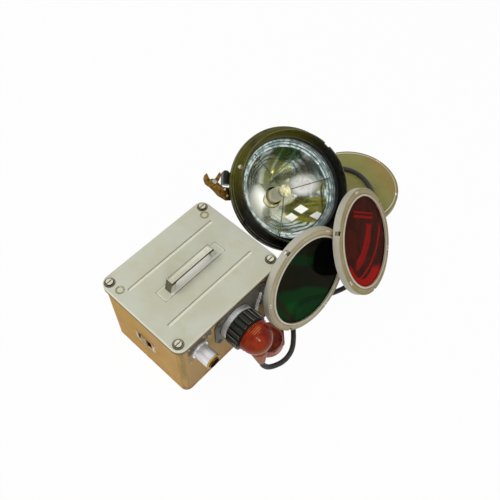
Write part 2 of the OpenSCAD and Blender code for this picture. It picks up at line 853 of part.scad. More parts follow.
module coupling_ring() {
    color("black") on_front(outlet_x, outlet_z) {
        rotate_extrude() polygon([
            [neck_r + turn, ring_base], [ring_r - 1, ring_base], [ring_r, ring_base + 1],
            [ring_r, ring_end - 1.5], [ring_r - 1.5, ring_end], [plug_neck_r + touch, ring_end],
            [plug_neck_r + touch, ring_end - ring_lip], [neck_r + turn, ring_end - ring_lip]]);
        for (i = [0 : rib_n - 1]) rotate([0, 0, i * 360 / rib_n])
            translate([ring_r - rib_in, -rib_w / 2, ring_base + rib_short])
                cube([rib_h + rib_in, rib_w, ring_l - 2 * rib_short]);
    }
}

// The plug's dome has its middle at the origin, with +Z away from the box
module plug_shell() {
    color("firebrick") on_front(outlet_x, outlet_z) {
        rotate_extrude() polygon(concat(
            [[0, shoulder_base], [shoulder_r, shoulder_base], [shoulder_r, shoulder_top],
                [plug_neck_r, shoulder_top], [plug_neck_r, dome_base], [dome_r, dome_base]],
            [for (i = [0 : dome_step_n - 1]) each dome_bead_at(dome_base + 1 + i * dome_step)],
            [for (a = [0 : 9 : 81]) dome_at(a)], [[0, dome_mid + dome_r]]));
        intersection() {
            translate([0, 0, dome_mid]) rotate([90 - tail_tilt, 0, 0])
                cylinder(r = tail_boss_r, h = tail_top);
            translate([0, 0, dome_base + dome_r])
                cube(2 * [tail_boss_r, 2 * dome_r, dome_r], center = true);
        }
    }
}

function dome_bead_at(z) = [[dome_r, z], [dome_r + dome_bead, z + 0.5], [dome_r, z + 1]];

function dome_at(a) = [dome_r * cos(a), dome_mid + dome_r * sin(a)];

module plug_tail() {
    color("chocolate") on_front(outlet_x, outlet_z) translate([0, 0, dome_mid]) rotate([90 - tail_tilt, 0, 0])
        translate([0, 0, tail_top]) {
            cylinder(r = tail_r, h = tail_collar);
            translate([0, 0, tail_collar])
                cylinder(r1 = tail_r, r2 = tail_end_r, h = tail_l - tail_top - tail_collar);
        }
}

module plug_pins() {
    color("gold") on_front(outlet_x, outlet_z) at_pins()
        translate([0, 0, shoulder_base - pin_reach - pin_root]) cylinder(r = pin_r, h = pin_reach + pin_root);
}

// Ring of points round one point of the lead, kept from twisting by the last ring's side direction
function along(p, i) = unit(p[min(i + 1, len(p) - 1)] - p[max(i - 1, 0)]);
function square_to(v, t) = unit(v - (v * t) * t);
function sides(p, i, last) = i == len(p) ? []
    : let(s = square_to(last, along(p, i))) concat([s], sides(p, i + 1, s));
module swept(p, r, n, first) {
    s = sides(p, 0, first);
    rings = [for (i = [0 : len(p) - 1]) let(t = along(p, i), b = cross(t, s[i]))
        for (k = [0 : n - 1]) p[i] + r * (cos(k * 360 / n) * s[i] + sin(k * 360 / n) * b)];
    last = (len(p) - 1) * n;
    polyhedron(rings, concat(
        [for (i = [0 : len(p) - 2], k = [0 : n - 1]) let(a = i * n + k, b = i * n + (k + 1) % n)
            each [[a, b + n, b], [a, a + n, b + n]]],
        [for (k = [1 : n - 2]) each [[0, k, k + 1], [last, last + k + 1, last + k]]]));
}

module lead() {
    color("dimgray") at_box() swept(lead_path, lead_d / 2, lead_sides, [1, 0, 0]);
}

module dust_cap() {
    color("brown") at_box() translate([cap_x, cap_y, 0]) {
        difference() {
            union() {
                cylinder(r = cap_skirt_r, h = cap_h - cap_grip_h);
                translate([0, 0, cap_h - cap_grip_h]) rotate([0, 0, 22.5])
                    cylinder(r = cap_r, h = cap_grip_h, $fn = 8);
            }
            translate([0, 0, cap_floor]) cylinder(r = cap_bore, h = cap_h);
        }
    }
    color("brown") at_box() translate([cap_x, cap_y, cap_lug_top - lug_t]) rotate([0, 0, cap_lug_angle])
        translate([cap_bore + lug_in, -lug_w / 2, 0])
            cube([cap_lug_reach + lug_t - cap_bore - lug_in, lug_w, lug_t]);
}

module dust_cap_ring() {
    color("silver") at_box() translate([cap_x, cap_y, cap_h - cap_ring_down])
        tube(cap_bore, cap_bore - cap_ring_t, 0, cap_ring_h);
}

// Place at a distance along a route of straight runs
function at_length(p, s, i = 0) = let(d = norm(p[i + 1] - p[i]))
    s <= d || i == len(p) - 2 ? [p[i] + (p[i + 1] - p[i]) * s / d, p[i + 1] - p[i]]
    : at_length(p, s - d, i + 1);
function route_length(p, i = 0) = i == len(p) - 1 ? 0 : norm(p[i + 1] - p[i]) + route_length(p, i + 1);

module cap_chain() {
    total = route_length(chain_route);
    count = round(total / (2 * (link_r - link_wire) - link_overlap));
    color("silver") at_box() for (i = [0 : count]) {
        place = at_length(chain_route, i * total / count);
        d = place[1];
        translate(place[0]) rotate([0, acos(d[2] / norm(d)), atan2(d[1], d[0])]) rotate([0, 0, i % 2 * 90])
            rotate([90, 0, 0]) rotate_extrude($fn = 16) translate([link_r, 0]) circle(link_wire, $fn = 13);
    }
}

module hood() {
    color("black") at_lamp() difference() {
        rotate_extrude() polygon([
            [glass_open_r, -hood_depth], [hood_r, -hood_depth], [hood_r, 0], [hood_in_r, 0],
            [hood_in_r, -hood_ledge], [glass_open_r, -hood_ledge]]);
        for (a = notch_angles) rotate([0, 0, a]) translate([hood_r, 0, 0])
            cube([4 * hood_wall, notch_w, 2 * notch_depth], center = true);
    }
}

// Outline of one ridge of the rim, each farther out and farther back than the last
function ridge(i) = let(r = rim_front_r + i * rim_ridge_out, z = -hood_depth - i * rim_ridge_pitch)
    [[r, z], [r, z - rim_ridge_t], [r - rim_ridge_h, z - rim_ridge_t], [r - rim_ridge_h, z - rim_ridge_pitch]];

// Ridged rim that steps out to its largest radius, then a plain band
module rim() {
    band = -hood_depth - rim_ridge_n * rim_ridge_pitch;
    inner = shell_front_r - shell_wall - 1;
    color("black") at_lamp() rotate_extrude() polygon(concat(
        [[rim_bore, -hood_depth]],
        [for (i = [0 : rim_ridge_n - 1]) each ridge(i)],
        [[rim_r, band], [rim_r, band - rim_band], [rim_r - rim_step, band - rim_band - 1],
            [rim_r - rim_step, -rim_back], [inner, -rim_back], [inner, -seal_back - 2],
            [rim_bore, -seal_back - 2]]));
}

module front_glass() {
    color("lightcyan", 0.4) at_lamp() translate([0, 0, -hood_depth - glass_t])
        cylinder(r = glass_r, h = glass_t);
}

module glass_seal() {
    color("dimgray") at_lamp() tube(glass_r, glass_open_r - 1, -seal_back, seal_t);
}

// Bright stepped ring between the glass and the bowl
module stepped_ring() {
    step = (glass_open_r - bowl_r) / step_n;
    rise = step_depth / step_n;
    color("silver") at_lamp() rotate_extrude() polygon(concat(
        [[glass_r, -seal_back]],
        [for (i = [0 : step_n - 1]) each [[glass_open_r - i * step, -seal_back - i * rise],
            [glass_open_r - i * step, -seal_back - (i + 1) * rise]]],
        [[bowl_r, -bowl_top], [bowl_r, -bowl_top - bowl_wall]],
        [for (i = [step_n - 1 : -1 : 0]) each [
            [glass_open_r - i * step + step_wall, -seal_back - (i + 1) * rise - bowl_wall],
            [glass_open_r - i * step + step_wall, -seal_back - i * rise - bowl_wall]]],
        [[glass_r, -seal_back - bowl_wall]]));
}

// Depth of the parabolic bowl's face at a radius
function bowl_z(r) = -bowl_back + bowl_depth * (r * r - bowl_hole_r * bowl_hole_r)
    / (bowl_r * bowl_r - bowl_hole_r * bowl_hole_r);
function bowl_radius(i) = bowl_hole_r + (bowl_r - bowl_hole_r) * i / bowl_points;

module reflector() {
    color("white") at_lamp() rotate_extrude() polygon(concat(
        [for (i = [0 : bowl_points]) [bowl_radius(i), bowl_z(bowl_radius(i))]],
        [for (i = [bowl_points : -1 : 0]) [bowl_radius(i), bowl_z(bowl_radius(i)) - bowl_wall]]));
}

module spider() {
    inner = shield_r - spider_in;
    outer = glass_open_r - (glass_open_r - bowl_r) / step_n - slip;
    start = seal_back + 1.5 * step_depth / step_n;
    drop = shield_at - start;
    color("gray") at_lamp() for (a = spider_angles) rotate([0, 0, a]) translate([outer, 0, -start])
        rotate([0, -90 - atan2(drop, outer - inner), 0])
        cylinder(r = spider_wire, h = norm([outer - inner, drop]), $fn = 16);
}

module shield() {
    color("silver") at_lamp() translate([0, 0, -shield_at - 3]) rotate_extrude() polygon(concat(
        [for (a = [0 : 15 : 90]) [shield_r * cos(a), shield_rise * sin(a)]],
        [for (a = [90 : -15 : 0]) [(shield_r - shield_t) * cos(a), (shield_rise - shield_t) * sin(a)]]));
}

module bulb_glass() {
    color("lightyellow", 0.5) at_lamp() translate([0, 0, -bulb_at]) difference() {
        sphere(r = bulb_r);
        translate([0, 0, bulb_at - bulb_base_at - 2 * bulb_r]) cylinder(r = bulb_r, h = 2 * bulb_r);
    }
}

module bulb_base() {
    color("goldenrod") at_lamp() translate([0, 0, -bulb_base_at - bulb_base_l])
        cylinder(r = bulb_base_r, h = bulb_base_l);
}

module bulb_holder() {
    color("silver") at_lamp() difference() {
        translate([0, 0, -rear_end]) cylinder(r = holder_r, h = rear_end - holder_at);
        translate([0, 0, -bulb_base_at - bulb_base_l]) cylinder(r = bulb_base_r + slip / 2, h = bulb_base_l);
    }
}

// Radius of the rear shell at a share of its depth behind the rim
function shell_r(u) = shell_neck_r + (shell_front_r - shell_neck_r) * pow(1 - u, shell_bend);
function shell_z(u) = -rim_back - (shell_end - rim_back) * u;
function shell_at(depth) = shell_r((depth - rim_back) / (shell_end - rim_back));
// Shares set closer together at the round rear
function shell_u(i) = 1 - pow(1 - i / shell_points, shell_bunch);

module rear_shell() {
    color("black") at_lamp() rotate_extrude() polygon(concat(
        [for (i = [0 : shell_points]) [shell_r(shell_u(i)), shell_z(shell_u(i))]],
        [[holder_r + slip, -shell_end], [holder_r + slip, -shell_end + shell_wall]],
        [for (i = [shell_points - 1 : -1 : 0])
            [shell_r(shell_u(i)) - shell_wall, shell_z(shell_u(i)) + (i == 0 ? 0 : shell_wall)]]));
}

module rear_neck() {
    color("black") at_lamp() tube(shell_neck_r, holder_r + slip, -rear_end, neck_back);
}

module grip() {
    pitch = (grip_end - rear_end - 10) / grip_rib_n;
    color("black") at_lamp() {
        rotate_extrude() polygon(concat(
            [[0, -rear_end], [grip_r + 2, -rear_end], [grip_r + 2, -rear_end - grip_flange_h]],
            [for (i = [0 : grip_rib_n - 1]) each grip_rib(-rear_end - grip_flange_h - 1 - i * pitch, pitch)],
            [[grip_r - 1, -grip_end + 2]],
            [for (a = [0 : 10 : 80]) [butt_r * cos(a), -grip_end - butt_r * sin(a)]],
            [[0, -grip_end - butt_r]]));
        translate([0, 0, -gland_depth]) rotate([-90, 0, 0]) cylinder(r = gland_boss_r, h = grip_r + 2);
    }
}

// Outline of one finger rib of the grip, a pitch long
function grip_rib(z, pitch) = [[grip_r - 1, z], [grip_r, z - 2], [grip_r, z - pitch + 2]];

module lead_gland() {
    color("dimgray") at_lamp() translate([0, grip_r + 2, -gland_depth]) rotate([-90, 0, 0]) {
        cylinder(r = gland_nut_r, h = gland_nut_h, $fn = 6);
        translate([0, 0, gland_nut_h])
            cylinder(r1 = gland_cone_r, r2 = lead_d / 2 + 1, h = gland_l - gland_nut_h);
    }
}

// Where the lead leaves the gland, and its route between the tail and there
function lamp_turn(v) = let(c = cos(lamp_tilt), s = sin(lamp_tilt), x = v[0] * c + v[2] * s)
    [x * cos(lamp_heading) - v[1] * sin(lamp_heading), x * sin(lamp_heading) + v[1] * cos(lamp_heading),
        v[2] * c - v[0] * s];
function from_corner(p, z) = [lid_l / 2 + p[0], front + p[1], z];
gland_tip = lamp_at + lamp_turn([0, grip_r + 2 + gland_l, -gland_depth]);
tail_tip = [outlet_x, front - dome_mid - tail_l * sin(tail_tilt), outlet_z - tail_l * cos(tail_tilt)];
lead_path = concat(
    [tail_tip],
    [for (p = lead_fall) [tail_tip[0] + p[0], tail_tip[1] + p[1], lead_z + (tail_tip[2] - lead_z) * p[2]]],
    [for (p = lead_floor_run) from_corner(p, lead_z)],
    [for (p = lead_step) from_corner(p, p[2])],
    [for (p = lead_cover_run) from_corner(p, cover_lead_z)],
    [for (p = lead_climb) from_corner(p, p[2])],
    [gland_tip]);

module at_key() {
    at_lamp() rotate([0, 0, key_angle]) translate([0, 0, -strap_depth]) children();
}

// Strap along the shell, sloped like the shell under it
module key_strap() {
    half = strap_w / 2;
    color("darkgoldenrod") at_key() rotate([0, 0, strap_from]) rotate_extrude(angle = strap_to - strap_from)
        polygon([[strap_front_r, half], [strap_front_r + strap_t, half], [strap_back_r + strap_t, -half],
            [strap_back_r, -half]]);
}

// Inner radius of the sloped strap at a height along the lamp's axis
function strap_r(z) = strap_back_r + (strap_front_r - strap_back_r) * (z / strap_w + 0.5);

// Plate that stands on the strap and carries the lever's pivot
module key_plate() {
    foot_r = strap_r(key_plate_t / 2) + strap_t + key_play;
    color("darkgoldenrod") at_key() translate([0, 0, -key_plate_t / 2])
        linear_extrude(key_plate_t) difference() {
            union() {
                translate([key_pivot_x, 0]) circle(key_eye_r);
                polygon(concat(
                    [for (a = [15 : -3 : 3]) [foot_r * cos(a), foot_r * sin(a)]],
                    [[key_pivot_x - 17, 5], [key_pivot_x - 6, -3], [key_pivot_x + 6, 2], [key_pivot_x + 5, 7.5],
                        [key_pivot_x - 1, 12], [key_pivot_x - 8.5, 19.3], [key_pivot_x - 22, 25.8]]));
            }
            translate([key_pivot_x, 0]) circle(key_pin_r + key_play);
        }
}

module key_block() {
    color("black") at_key() translate([key_seat_x, 0, key_block_z[0]])
        linear_extrude(key_block_z[1] - key_block_z[0])
            polygon([[0, 1], [0, -16.5], [5, -20.5], [key_block_x - 2, -20.5], [key_block_x, -17.5],
                [key_block_x, 1]]);
}

module at_pivot() {
    at_key() translate([key_pivot_x, 0, 0]) children();
}

// Pivot screw with its round head in front and its nut behind
module key_pin() {
    top = lever_base + lever_t + slip;
    back = -key_plate_t / 2;
    color("dimgray") at_pivot() {
        translate([0, 0, back - pin_nut_h - pin_tip])
            cylinder(r = key_pin_r, h = top - back + pin_nut_h + pin_tip);
        translate([0, 0, top]) cylinder(r1 = pin_head_r, r2 = pin_head_r - 0.8, h = pin_head_h);
        translate([0, 0, back - pin_nut_h]) cylinder(r = pin_nut_r, h = pin_nut_h, $fn = 6);
    }
}

// Rocking lever: a finger horn on one side of the pivot, an arm over the block on the other
module key_lever() {
    color("darkgoldenrod") at_pivot() translate([0, 0, lever_base]) linear_extrude(lever_t) difference() {
        polygon([[-11.8, -13], [-8.5, -16.5], [-1.5, -5], [2, -4.8], [5.1, -3.2], [8.2, -5.5], [10.2, -9.5],
            [12.2, -12.8], [15.3, -9.2], [16.6, -4.5], [15.6, 0], [13, 4.5], [7.5, 8], [-2, 5], [-6, 0.5]]);
        circle(key_pin_r + key_play);
    }
}

// Torsion coil round the pivot, between the plate and the lever
module key_spring() {
    color("silver") at_pivot() 
        tube(key_pin_r + slip + key_spring_w, key_pin_r + slip, key_plate_t / 2, key_spring_l);
}

module key_screws() {
    color("gainsboro") at_pivot() for (p = key_screw_at) translate([p[0], p[1], key_plate_t / 2])
        cylinder(r1 = key_screw_r, r2 = key_screw_r - 0.6, h = key_screw_h);
}

// Sheet pan of a filter or the cover, with its face at z = 0 and its open back below
module pan_profile(inner) {
    rotate_extrude() polygon([
        [filter_r - filter_wall, -filter_t], [filter_r, -filter_t], [filter_r, -1], [filter_r - 1, 0],
        [inner, 0], [inner, -filter_wall], [filter_r - filter_wall, -filter_wall]]);
}

module pan(inner, turned) {
    difference() {
        pan_profile(inner);
        for (i = [0 : 2]) rotate([0, 0, turned + 60 + i * 120])
            translate([filter_r - 1, 0, slot_down - filter_t / 2]) cube([8, slot_w, filter_t], center = true);
    }
}

module filter_ring(turned) {
    pan(filter_open_r, turned);
    tube(filter_open_r + 2 * bead_r, filter_open_r, 0, bead_r);
    difference() {
        tube(filter_r - filter_wall, clamp_r, -glass_front - filter_glass_t - clamp_t, clamp_t);
        for (i = [0 : 2]) rotate([0, 0, turned + i * 120])
            translate([filter_r - filter_wall - 1.5, -catch_w / 2 - touch, -filter_t])
                cube([1.5, catch_w + 2 * touch, filter_t]);
    }
}

module filter_glass() {
    translate([0, 0, -glass_front - filter_glass_t]) cylinder(r = filter_glass_r, h = filter_glass_t);
}

// Three leaf catches inside the wall, each held by two rivets through the face
module catches(turned) {
    leaf_r = filter_r - filter_wall - touch;
    for (i = [0 : 2]) rotate([0, 0, turned + i * 120]) {
        for (y = [-1, 1]) translate([catch_at, y * rivet_gap / 2, 0])
            cylinder(r1 = rivet_r, r2 = rivet_r - 0.4, h = rivet_h);
        translate([catch_at - catch_in, -catch_w / 2, -filter_wall - catch_t])
            cube([leaf_r - catch_at + catch_in, catch_w, catch_t]);
        translate([leaf_r - catch_t, -catch_w / 2, catch_short - filter_t])
            cube([catch_t, catch_w, filter_t - catch_short - filter_wall]);
    }
}

module green_ring() {
    color("tan") tilted(green_at, green_tilt, green_heading) filter_ring(feature_turn[0]);
}

module green_glass() {
    color("darkgreen", 0.7) tilted(green_at, green_tilt, green_heading) filter_glass();
}

module green_catches() {
    color("silver") tilted(green_at, green_tilt, green_heading) catches(feature_turn[0]);
}

module red_ring() {
    color("darkkhaki") tilted(red_at, red_tilt, red_heading) filter_ring(feature_turn[1]);
}

module red_glass() {
    color("darkred", 0.7) tilted(red_at, red_tilt, red_heading) filter_glass();
}

module red_catches() {
    color("silver") tilted(red_at, red_tilt, red_heading) catches(feature_turn[1]);
}

module cover_disc() {
    color("olive") tilted(cover_at, 0, 0) pan(0, feature_turn[2]);
}

module cover_catches() {
    color("silver") tilted(cover_at, 0, 0) catches(feature_turn[2]);
}

case();
lid_gasket();
lid();
lid_washers();
lid_screws();
handle();
handle_screws();
strap_loops();
blank_plates();
plate_rivets();
batteries();
cell_caps();
battery_links();
outlet_plate();
outlet_screws();
outlet_collar();
outlet_insert();
outlet_contacts();
charge_collar();
charge_sleeve();
charge_contact();
coupling_ring();
plug_shell();
plug_tail();
plug_pins();
lead();
dust_cap();
dust_cap_ring();
cap_chain();
hood();
rim();
front_glass();
glass_seal();
stepped_ring();
reflector();
spider();
shield();
bulb_glass();
bulb_base();
bulb_holder();
rear_shell();
rear_neck();
grip();
lead_gland();
key_strap();
key_plate();
key_block();
key_pin();
key_lever();
key_spring();
key_screws();
green_ring();
green_glass();
green_catches();
red_ring();
red_glass();
red_catches();
cover_disc();
cover_catches();
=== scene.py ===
"""Signal lamp set: camera, lead, light, materials, and the pieces made for their looks."""

import math

import bmesh
import bpy
from mathutils import Matrix, Vector


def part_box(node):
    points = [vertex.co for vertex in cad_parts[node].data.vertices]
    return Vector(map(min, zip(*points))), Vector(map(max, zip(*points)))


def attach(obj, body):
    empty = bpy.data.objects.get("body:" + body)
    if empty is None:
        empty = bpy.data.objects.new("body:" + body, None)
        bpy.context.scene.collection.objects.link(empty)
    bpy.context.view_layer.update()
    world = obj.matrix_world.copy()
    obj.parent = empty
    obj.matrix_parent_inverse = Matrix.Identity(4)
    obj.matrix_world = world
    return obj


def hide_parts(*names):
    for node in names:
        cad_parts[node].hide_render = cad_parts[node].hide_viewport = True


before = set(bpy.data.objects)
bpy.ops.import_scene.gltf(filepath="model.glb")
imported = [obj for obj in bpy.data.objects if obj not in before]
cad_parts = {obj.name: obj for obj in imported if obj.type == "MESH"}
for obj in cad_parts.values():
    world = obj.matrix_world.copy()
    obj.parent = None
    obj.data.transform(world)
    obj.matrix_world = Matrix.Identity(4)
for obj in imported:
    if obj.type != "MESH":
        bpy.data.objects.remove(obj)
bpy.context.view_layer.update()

MM = 0.001
RIGHT, LEFT = (1, 0, 0), (-1, 0, 0)
BACK, FRONT = (0, 1, 0), (0, -1, 0)
UP = (0, 0, 1)


def centre(node):
    """Middle of a node's box."""
    low, high = (Vector(corner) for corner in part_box(node))
    return (low + high) / 2


def tilted_frame(place, tilt, heading):
    """Matrix of a frame whose +Z is a tilted face's outward normal."""
    turn = Matrix.Rotation(math.radians(heading), 4, "Z")
    lean = Matrix.Rotation(math.radians(tilt), 4, "Y")
    return Matrix.Translation(place) @ turn @ lean


# Battery box: its frame's origin is the middle of its underside
BOX_MIDDLE = Vector((centre("case").x, centre("case").y, 0))
BOX = Matrix.Translation(BOX_MIDDLE)


def box_at(x, y, z):
    """Place given in the battery box's frame, in millimetres."""
    return BOX_MIDDLE + Vector((x, y, z)) * MM


# Plug: its frame's origin is on the case's front wall, and its +Z points to the front
CASE_FRONT = -80.6
OUTLET = (3, 102)
PLUG = tilted_frame(box_at(OUTLET[0], CASE_FRONT, OUTLET[1]), 90, -90)

# Lamp head: its frame's origin is the middle of the hood's lip
LAMP_TILT = 33.8
LAMP_HEADING = -99.0
HOOD_DEPTH = 18.5
GLASS_THICKNESS = 4.0
lamp_normal = tilted_frame(Vector(), LAMP_TILT, LAMP_HEADING).col[2].xyz
LIP_MIDDLE = centre("front_glass") + lamp_normal * (HOOD_DEPTH + GLASS_THICKNESS / 2) * MM
LAMP = tilted_frame(LIP_MIDDLE, LAMP_TILT, LAMP_HEADING)

# Camera, solved from the box's lid and the round pieces
CAMERA_AT = box_at(-298.2, -384.4, 926.2)
CAMERA_ELEVATION = 56.33
CAMERA_AZIMUTH = -47.91
CAMERA_ROLL = 0.82
CAMERA_LENS = 45.02
SENSOR = 36.0
CLIP_START = 0.05


def seen_turn():
    """Turn of a frame whose X and Y are the photograph's right and up."""
    azimuth, elevation = math.radians(CAMERA_AZIMUTH), math.radians(CAMERA_ELEVATION)
    back = Vector((
        math.sin(azimuth) * math.cos(elevation),
        -math.cos(azimuth) * math.cos(elevation),
        math.sin(elevation),
    ))
    roll = Matrix.Rotation(math.radians(CAMERA_ROLL), 3, "Z")
    return (-back).to_track_quat("-Z", "Y").to_matrix() @ roll


def seen_frame(place):
    """Matrix of a frame at a place, turned as the photograph is."""
    return Matrix.Translation(place) @ seen_turn().to_4x4()


def towards(right, up, near):
    """Direction given along the photograph's right and up, and towards its camera."""
    return seen_turn() @ Vector((right, up, near))


def make_camera():
    data = bpy.data.cameras.new("camera")
    data.lens = CAMERA_LENS
    data.sensor_width = SENSOR
    data.clip_start = CLIP_START
    camera = bpy.data.objects.new("camera", data)
    bpy.context.collection.objects.link(camera)
    camera.matrix_world = seen_frame(CAMERA_AT)
    bpy.context.scene.camera = camera


# Materials

# Colour sockets of a Mix node that is set to colours
MIX_FIRST, MIX_SECOND, MIX_RESULT = 6, 7, 2


def srgb(red, green, blue):
    """Linear colour of an sRGB colour written as 0 to 255."""
    def linear(value):
        value /= 255
        return value / 12.92 if value <= 0.04045 else ((value + 0.055) / 1.055) ** 2.4
    return (linear(red), linear(green), linear(blue), 1.0)


class Surface:
    """One procedural material, with short calls for its nodes. Its lengths are in millimetres."""

    def __init__(self, name, roughness, metallic=0.0, **sockets):
        self.material = bpy.data.materials.new(name)
        self.material.use_nodes = True
        self.tree = self.material.node_tree
        self.shader = self.tree.nodes["Principled BSDF"]
        self.shader.inputs["Roughness"].default_value = roughness
        self.shader.inputs["Metallic"].default_value = metallic
        for key, value in sockets.items():
            self.shader.inputs[key.replace("_", " ")].default_value = value
        place = self.node("ShaderNodeTexCoord")
        self.coordinates = place.outputs["Object"]
        self.normal = place.outputs["Normal"]

    def node(self, kind, **settings):
        made = self.tree.nodes.new(kind)
        for key, value in settings.items():
            setattr(made, key, value)
        return made

    def link(self, output, target):
        self.tree.links.new(output, target)

    def feed(self, value, socket):
        """Set a socket to a plain value, or link it to another node's output."""
        if isinstance(value, (int, float, tuple)):
            socket.default_value = value
        else:
            self.link(value, socket)

    def noise(self, size, detail=4.0, roughness=0.55, distortion=0.0, stretch=(1, 1, 1)):
        """Noise whose features are about size across."""
        mapping = self.node("ShaderNodeMapping")
        mapping.inputs["Scale"].default_value = stretch
        self.link(self.coordinates, mapping.inputs["Vector"])
        made = self.node("ShaderNodeTexNoise")
        made.inputs["Scale"].default_value = 1 / (size * MM)
        made.inputs["Detail"].default_value = detail
        made.inputs["Roughness"].default_value = roughness
        made.inputs["Distortion"].default_value = distortion
        self.link(mapping.outputs["Vector"], made.inputs["Vector"])
        return made.outputs["Fac"]

    def ramp(self, value, low, high):
        """Value spread so that low gives 0 and high gives 1."""
        made = self.node("ShaderNodeMapRange", interpolation_type="SMOOTHSTEP")
        self.feed(value, made.inputs["Value"])
        made.inputs["From Min"].default_value = low
        made.inputs["From Max"].default_value = high
        return made.outputs["Result"]

    def maths(self, operation, first, second=0.0):
        made = self.node("ShaderNodeMath", operation=operation)
        self.feed(first, made.inputs[0])
        self.feed(second, made.inputs[1])
        return made.outputs[0]

    def absolute(self, value):
        return self.maths("ABSOLUTE", value)

    def larger(self, first, second):
        return self.maths("MAXIMUM", first, second)

    def times(self, product, *factors):
        """Product of outputs and plain numbers."""
        for factor in factors:
            product = self.maths("MULTIPLY", product, factor)
        return product

    def mix(self, amount, first, second):
        """Blend of two colours, each an output or an sRGB colour written as 0 to 255."""
        made = self.node("ShaderNodeMix", data_type="RGBA")
        self.feed(amount, made.inputs["Factor"])
        for value, index in ((first, MIX_FIRST), (second, MIX_SECOND)):
            self.feed(srgb(*value) if isinstance(value, tuple) else value, made.inputs[index])
        return made.outputs[MIX_RESULT]

    def paint(self, colour, tone, *masks):
        """Colour with a tone laid over it, as far as the product of the masks goes."""
        return self.mix(self.times(*masks), colour, tone)

    def vector(self, operation, first, second=(0, 0, 0), scale=1.0):
        made = self.node("ShaderNodeVectorMath", operation=operation)
        self.feed(first, made.inputs[0])
        if operation == "SCALE":
            self.feed(scale, made.inputs["Scale"])
        elif operation not in ("LENGTH", "ABSOLUTE"):
            self.feed(second, made.inputs[1])
        return made.outputs["Value" if operation in ("DOT_PRODUCT", "LENGTH") else "Vector"]

    def along(self, origin, axis):
        """Distance past a point, along an axis."""
        offset = self.vector("SUBTRACT", self.coordinates, tuple(origin))
        return self.times(self.vector("DOT_PRODUCT", offset, tuple(axis)), 1 / MM)

    def local(self, matrix):
        """Coordinates in a placing matrix's own frame."""
        made = self.node("ShaderNodeCombineXYZ")
        for i in range(3):
            self.link(self.along(matrix.translation, matrix.col[i].xyz), made.inputs[i])
        return made.outputs[0]

    def share(self, place, middle, reach):
        """Distance from a point of a local frame's X and Y, as a share of an oval's reach."""
        offset = self.vector("SUBTRACT", place, (*middle, 0))
        scaled = self.vector("MULTIPLY", offset, (1 / reach[0], 1 / reach[1], 0))
        return self.vector("LENGTH", scaled)

    def away(self, place, middle=(0, 0)):
        """Distance from a point of a local frame's X and Y, or the radius round its Z."""
        return self.share(place, middle, (1, 1))

    def oval(self, place, middle, reach, soft):
        """1 inside an oval of a local frame's X and Y, fading to 0 past its edge."""
        return self.ramp(self.share(place, middle, reach), 1 + soft, 1 - soft)

    def wavy(self, place, size, amount):
        """Local coordinates shifted by noise, so that a mark's outline isn't a plain oval."""
        noise = self.node("ShaderNodeTexNoise")
        noise.inputs["Scale"].default_value = 1 / (size * MM)
        self.link(self.coordinates, noise.inputs["Vector"])
        shift = self.vector("SUBTRACT", noise.outputs["Color"], (0.5, 0.5, 0.5))
        return self.vector("ADD", place, self.vector("SCALE", shift, scale=amount))

    def band(self, value, middle, half, soft):
        """1 where a value lies within half of the middle, fading to 0 over soft."""
        return self.ramp(self.absolute(self.maths("SUBTRACT", value, middle)), half + soft, half)

    def outside(self, first, second, half):
        """Distance past a rectangle's edge, from the distances to its two middle lines."""
        past_first = self.maths("SUBTRACT", self.absolute(first), half[0])
        past_second = self.maths("SUBTRACT", self.absolute(second), half[1])
        return self.larger(past_first, past_second)

    def facing(self, direction):
        """1 on faces that look along a direction of the rest pose, 0 square to it."""
        return self.vector("DOT_PRODUCT", self.normal, tuple(direction))

    def edges(self, radius, low=0.02, high=0.25):
        """1 along sharp edges within radius, 0 on flat parts."""
        bevel = self.node("ShaderNodeBevel", samples=4)
        bevel.inputs["Radius"].default_value = radius * MM
        flat = self.node("ShaderNodeNewGeometry").outputs["Normal"]
        same = self.vector("DOT_PRODUCT", bevel.outputs["Normal"], flat)
        return self.ramp(self.maths("SUBTRACT", 1.0, same), low, high)

    def colour(self, value):
        self.link(value, self.shader.inputs["Base Color"])

    def rough(self, base, value, spread):
        """Roughness that runs from base to base + spread as a value runs from 0 to 1."""
        roughness = self.maths("ADD", base, self.times(value, spread))
        self.link(roughness, self.shader.inputs["Roughness"])

    def metal(self, value):
        self.link(value, self.shader.inputs["Metallic"])

    def bump(self, height, depth):
        """Bump whose full height is depth."""
        made = self.node("ShaderNodeBump")
        made.inputs["Strength"].default_value = 1.0
        made.inputs["Distance"].default_value = depth * MM
        self.link(height, made.inputs["Height"])
        self.link(made.outputs["Normal"], self.shader.inputs["Normal"])


# Each _marks function takes a surface and its colour, and gives the colour back with marks on it


def enamel(
    name, light, dark, under,
    roughness=0.42, chips=0.66, edge_size=1.2, wave=1.0, shine=0.2, marks=None,
):
    """Old paint on sheet metal: cloudy, with chips and worn edges that show what is under it."""
    s = Surface(name, roughness, Specular_IOR_Level=shine)
    colour = s.mix(s.ramp(s.noise(60, 5, 0.6, 0.4), 0.35, 0.68), light, dark)
    colour = s.paint(colour, dark, s.ramp(s.noise(7, 6, 0.65), 0.5, 0.72), 0.35)
    if marks:
        colour = marks(s, colour)
    bare = s.ramp(s.noise(4.5, 8, 0.7, 0.6), chips, chips + 0.04)
    if edge_size:
        wear = s.ramp(s.times(s.edges(edge_size), s.noise(5, 6, 0.7)), 0.32, 0.5)
        bare = s.larger(bare, wear)
    s.colour(s.mix(bare, colour, under))
    s.rough(roughness - 0.08, s.noise(12), 0.2)
    s.metal(s.times(bare, 0.4))
    grain = s.maths("ADD", s.times(s.noise(1.1, 3), 0.25), s.times(bare, -0.5))
    s.bump(s.maths("ADD", grain, s.times(s.noise(45, 2), wave)), 0.35)
    return s.material


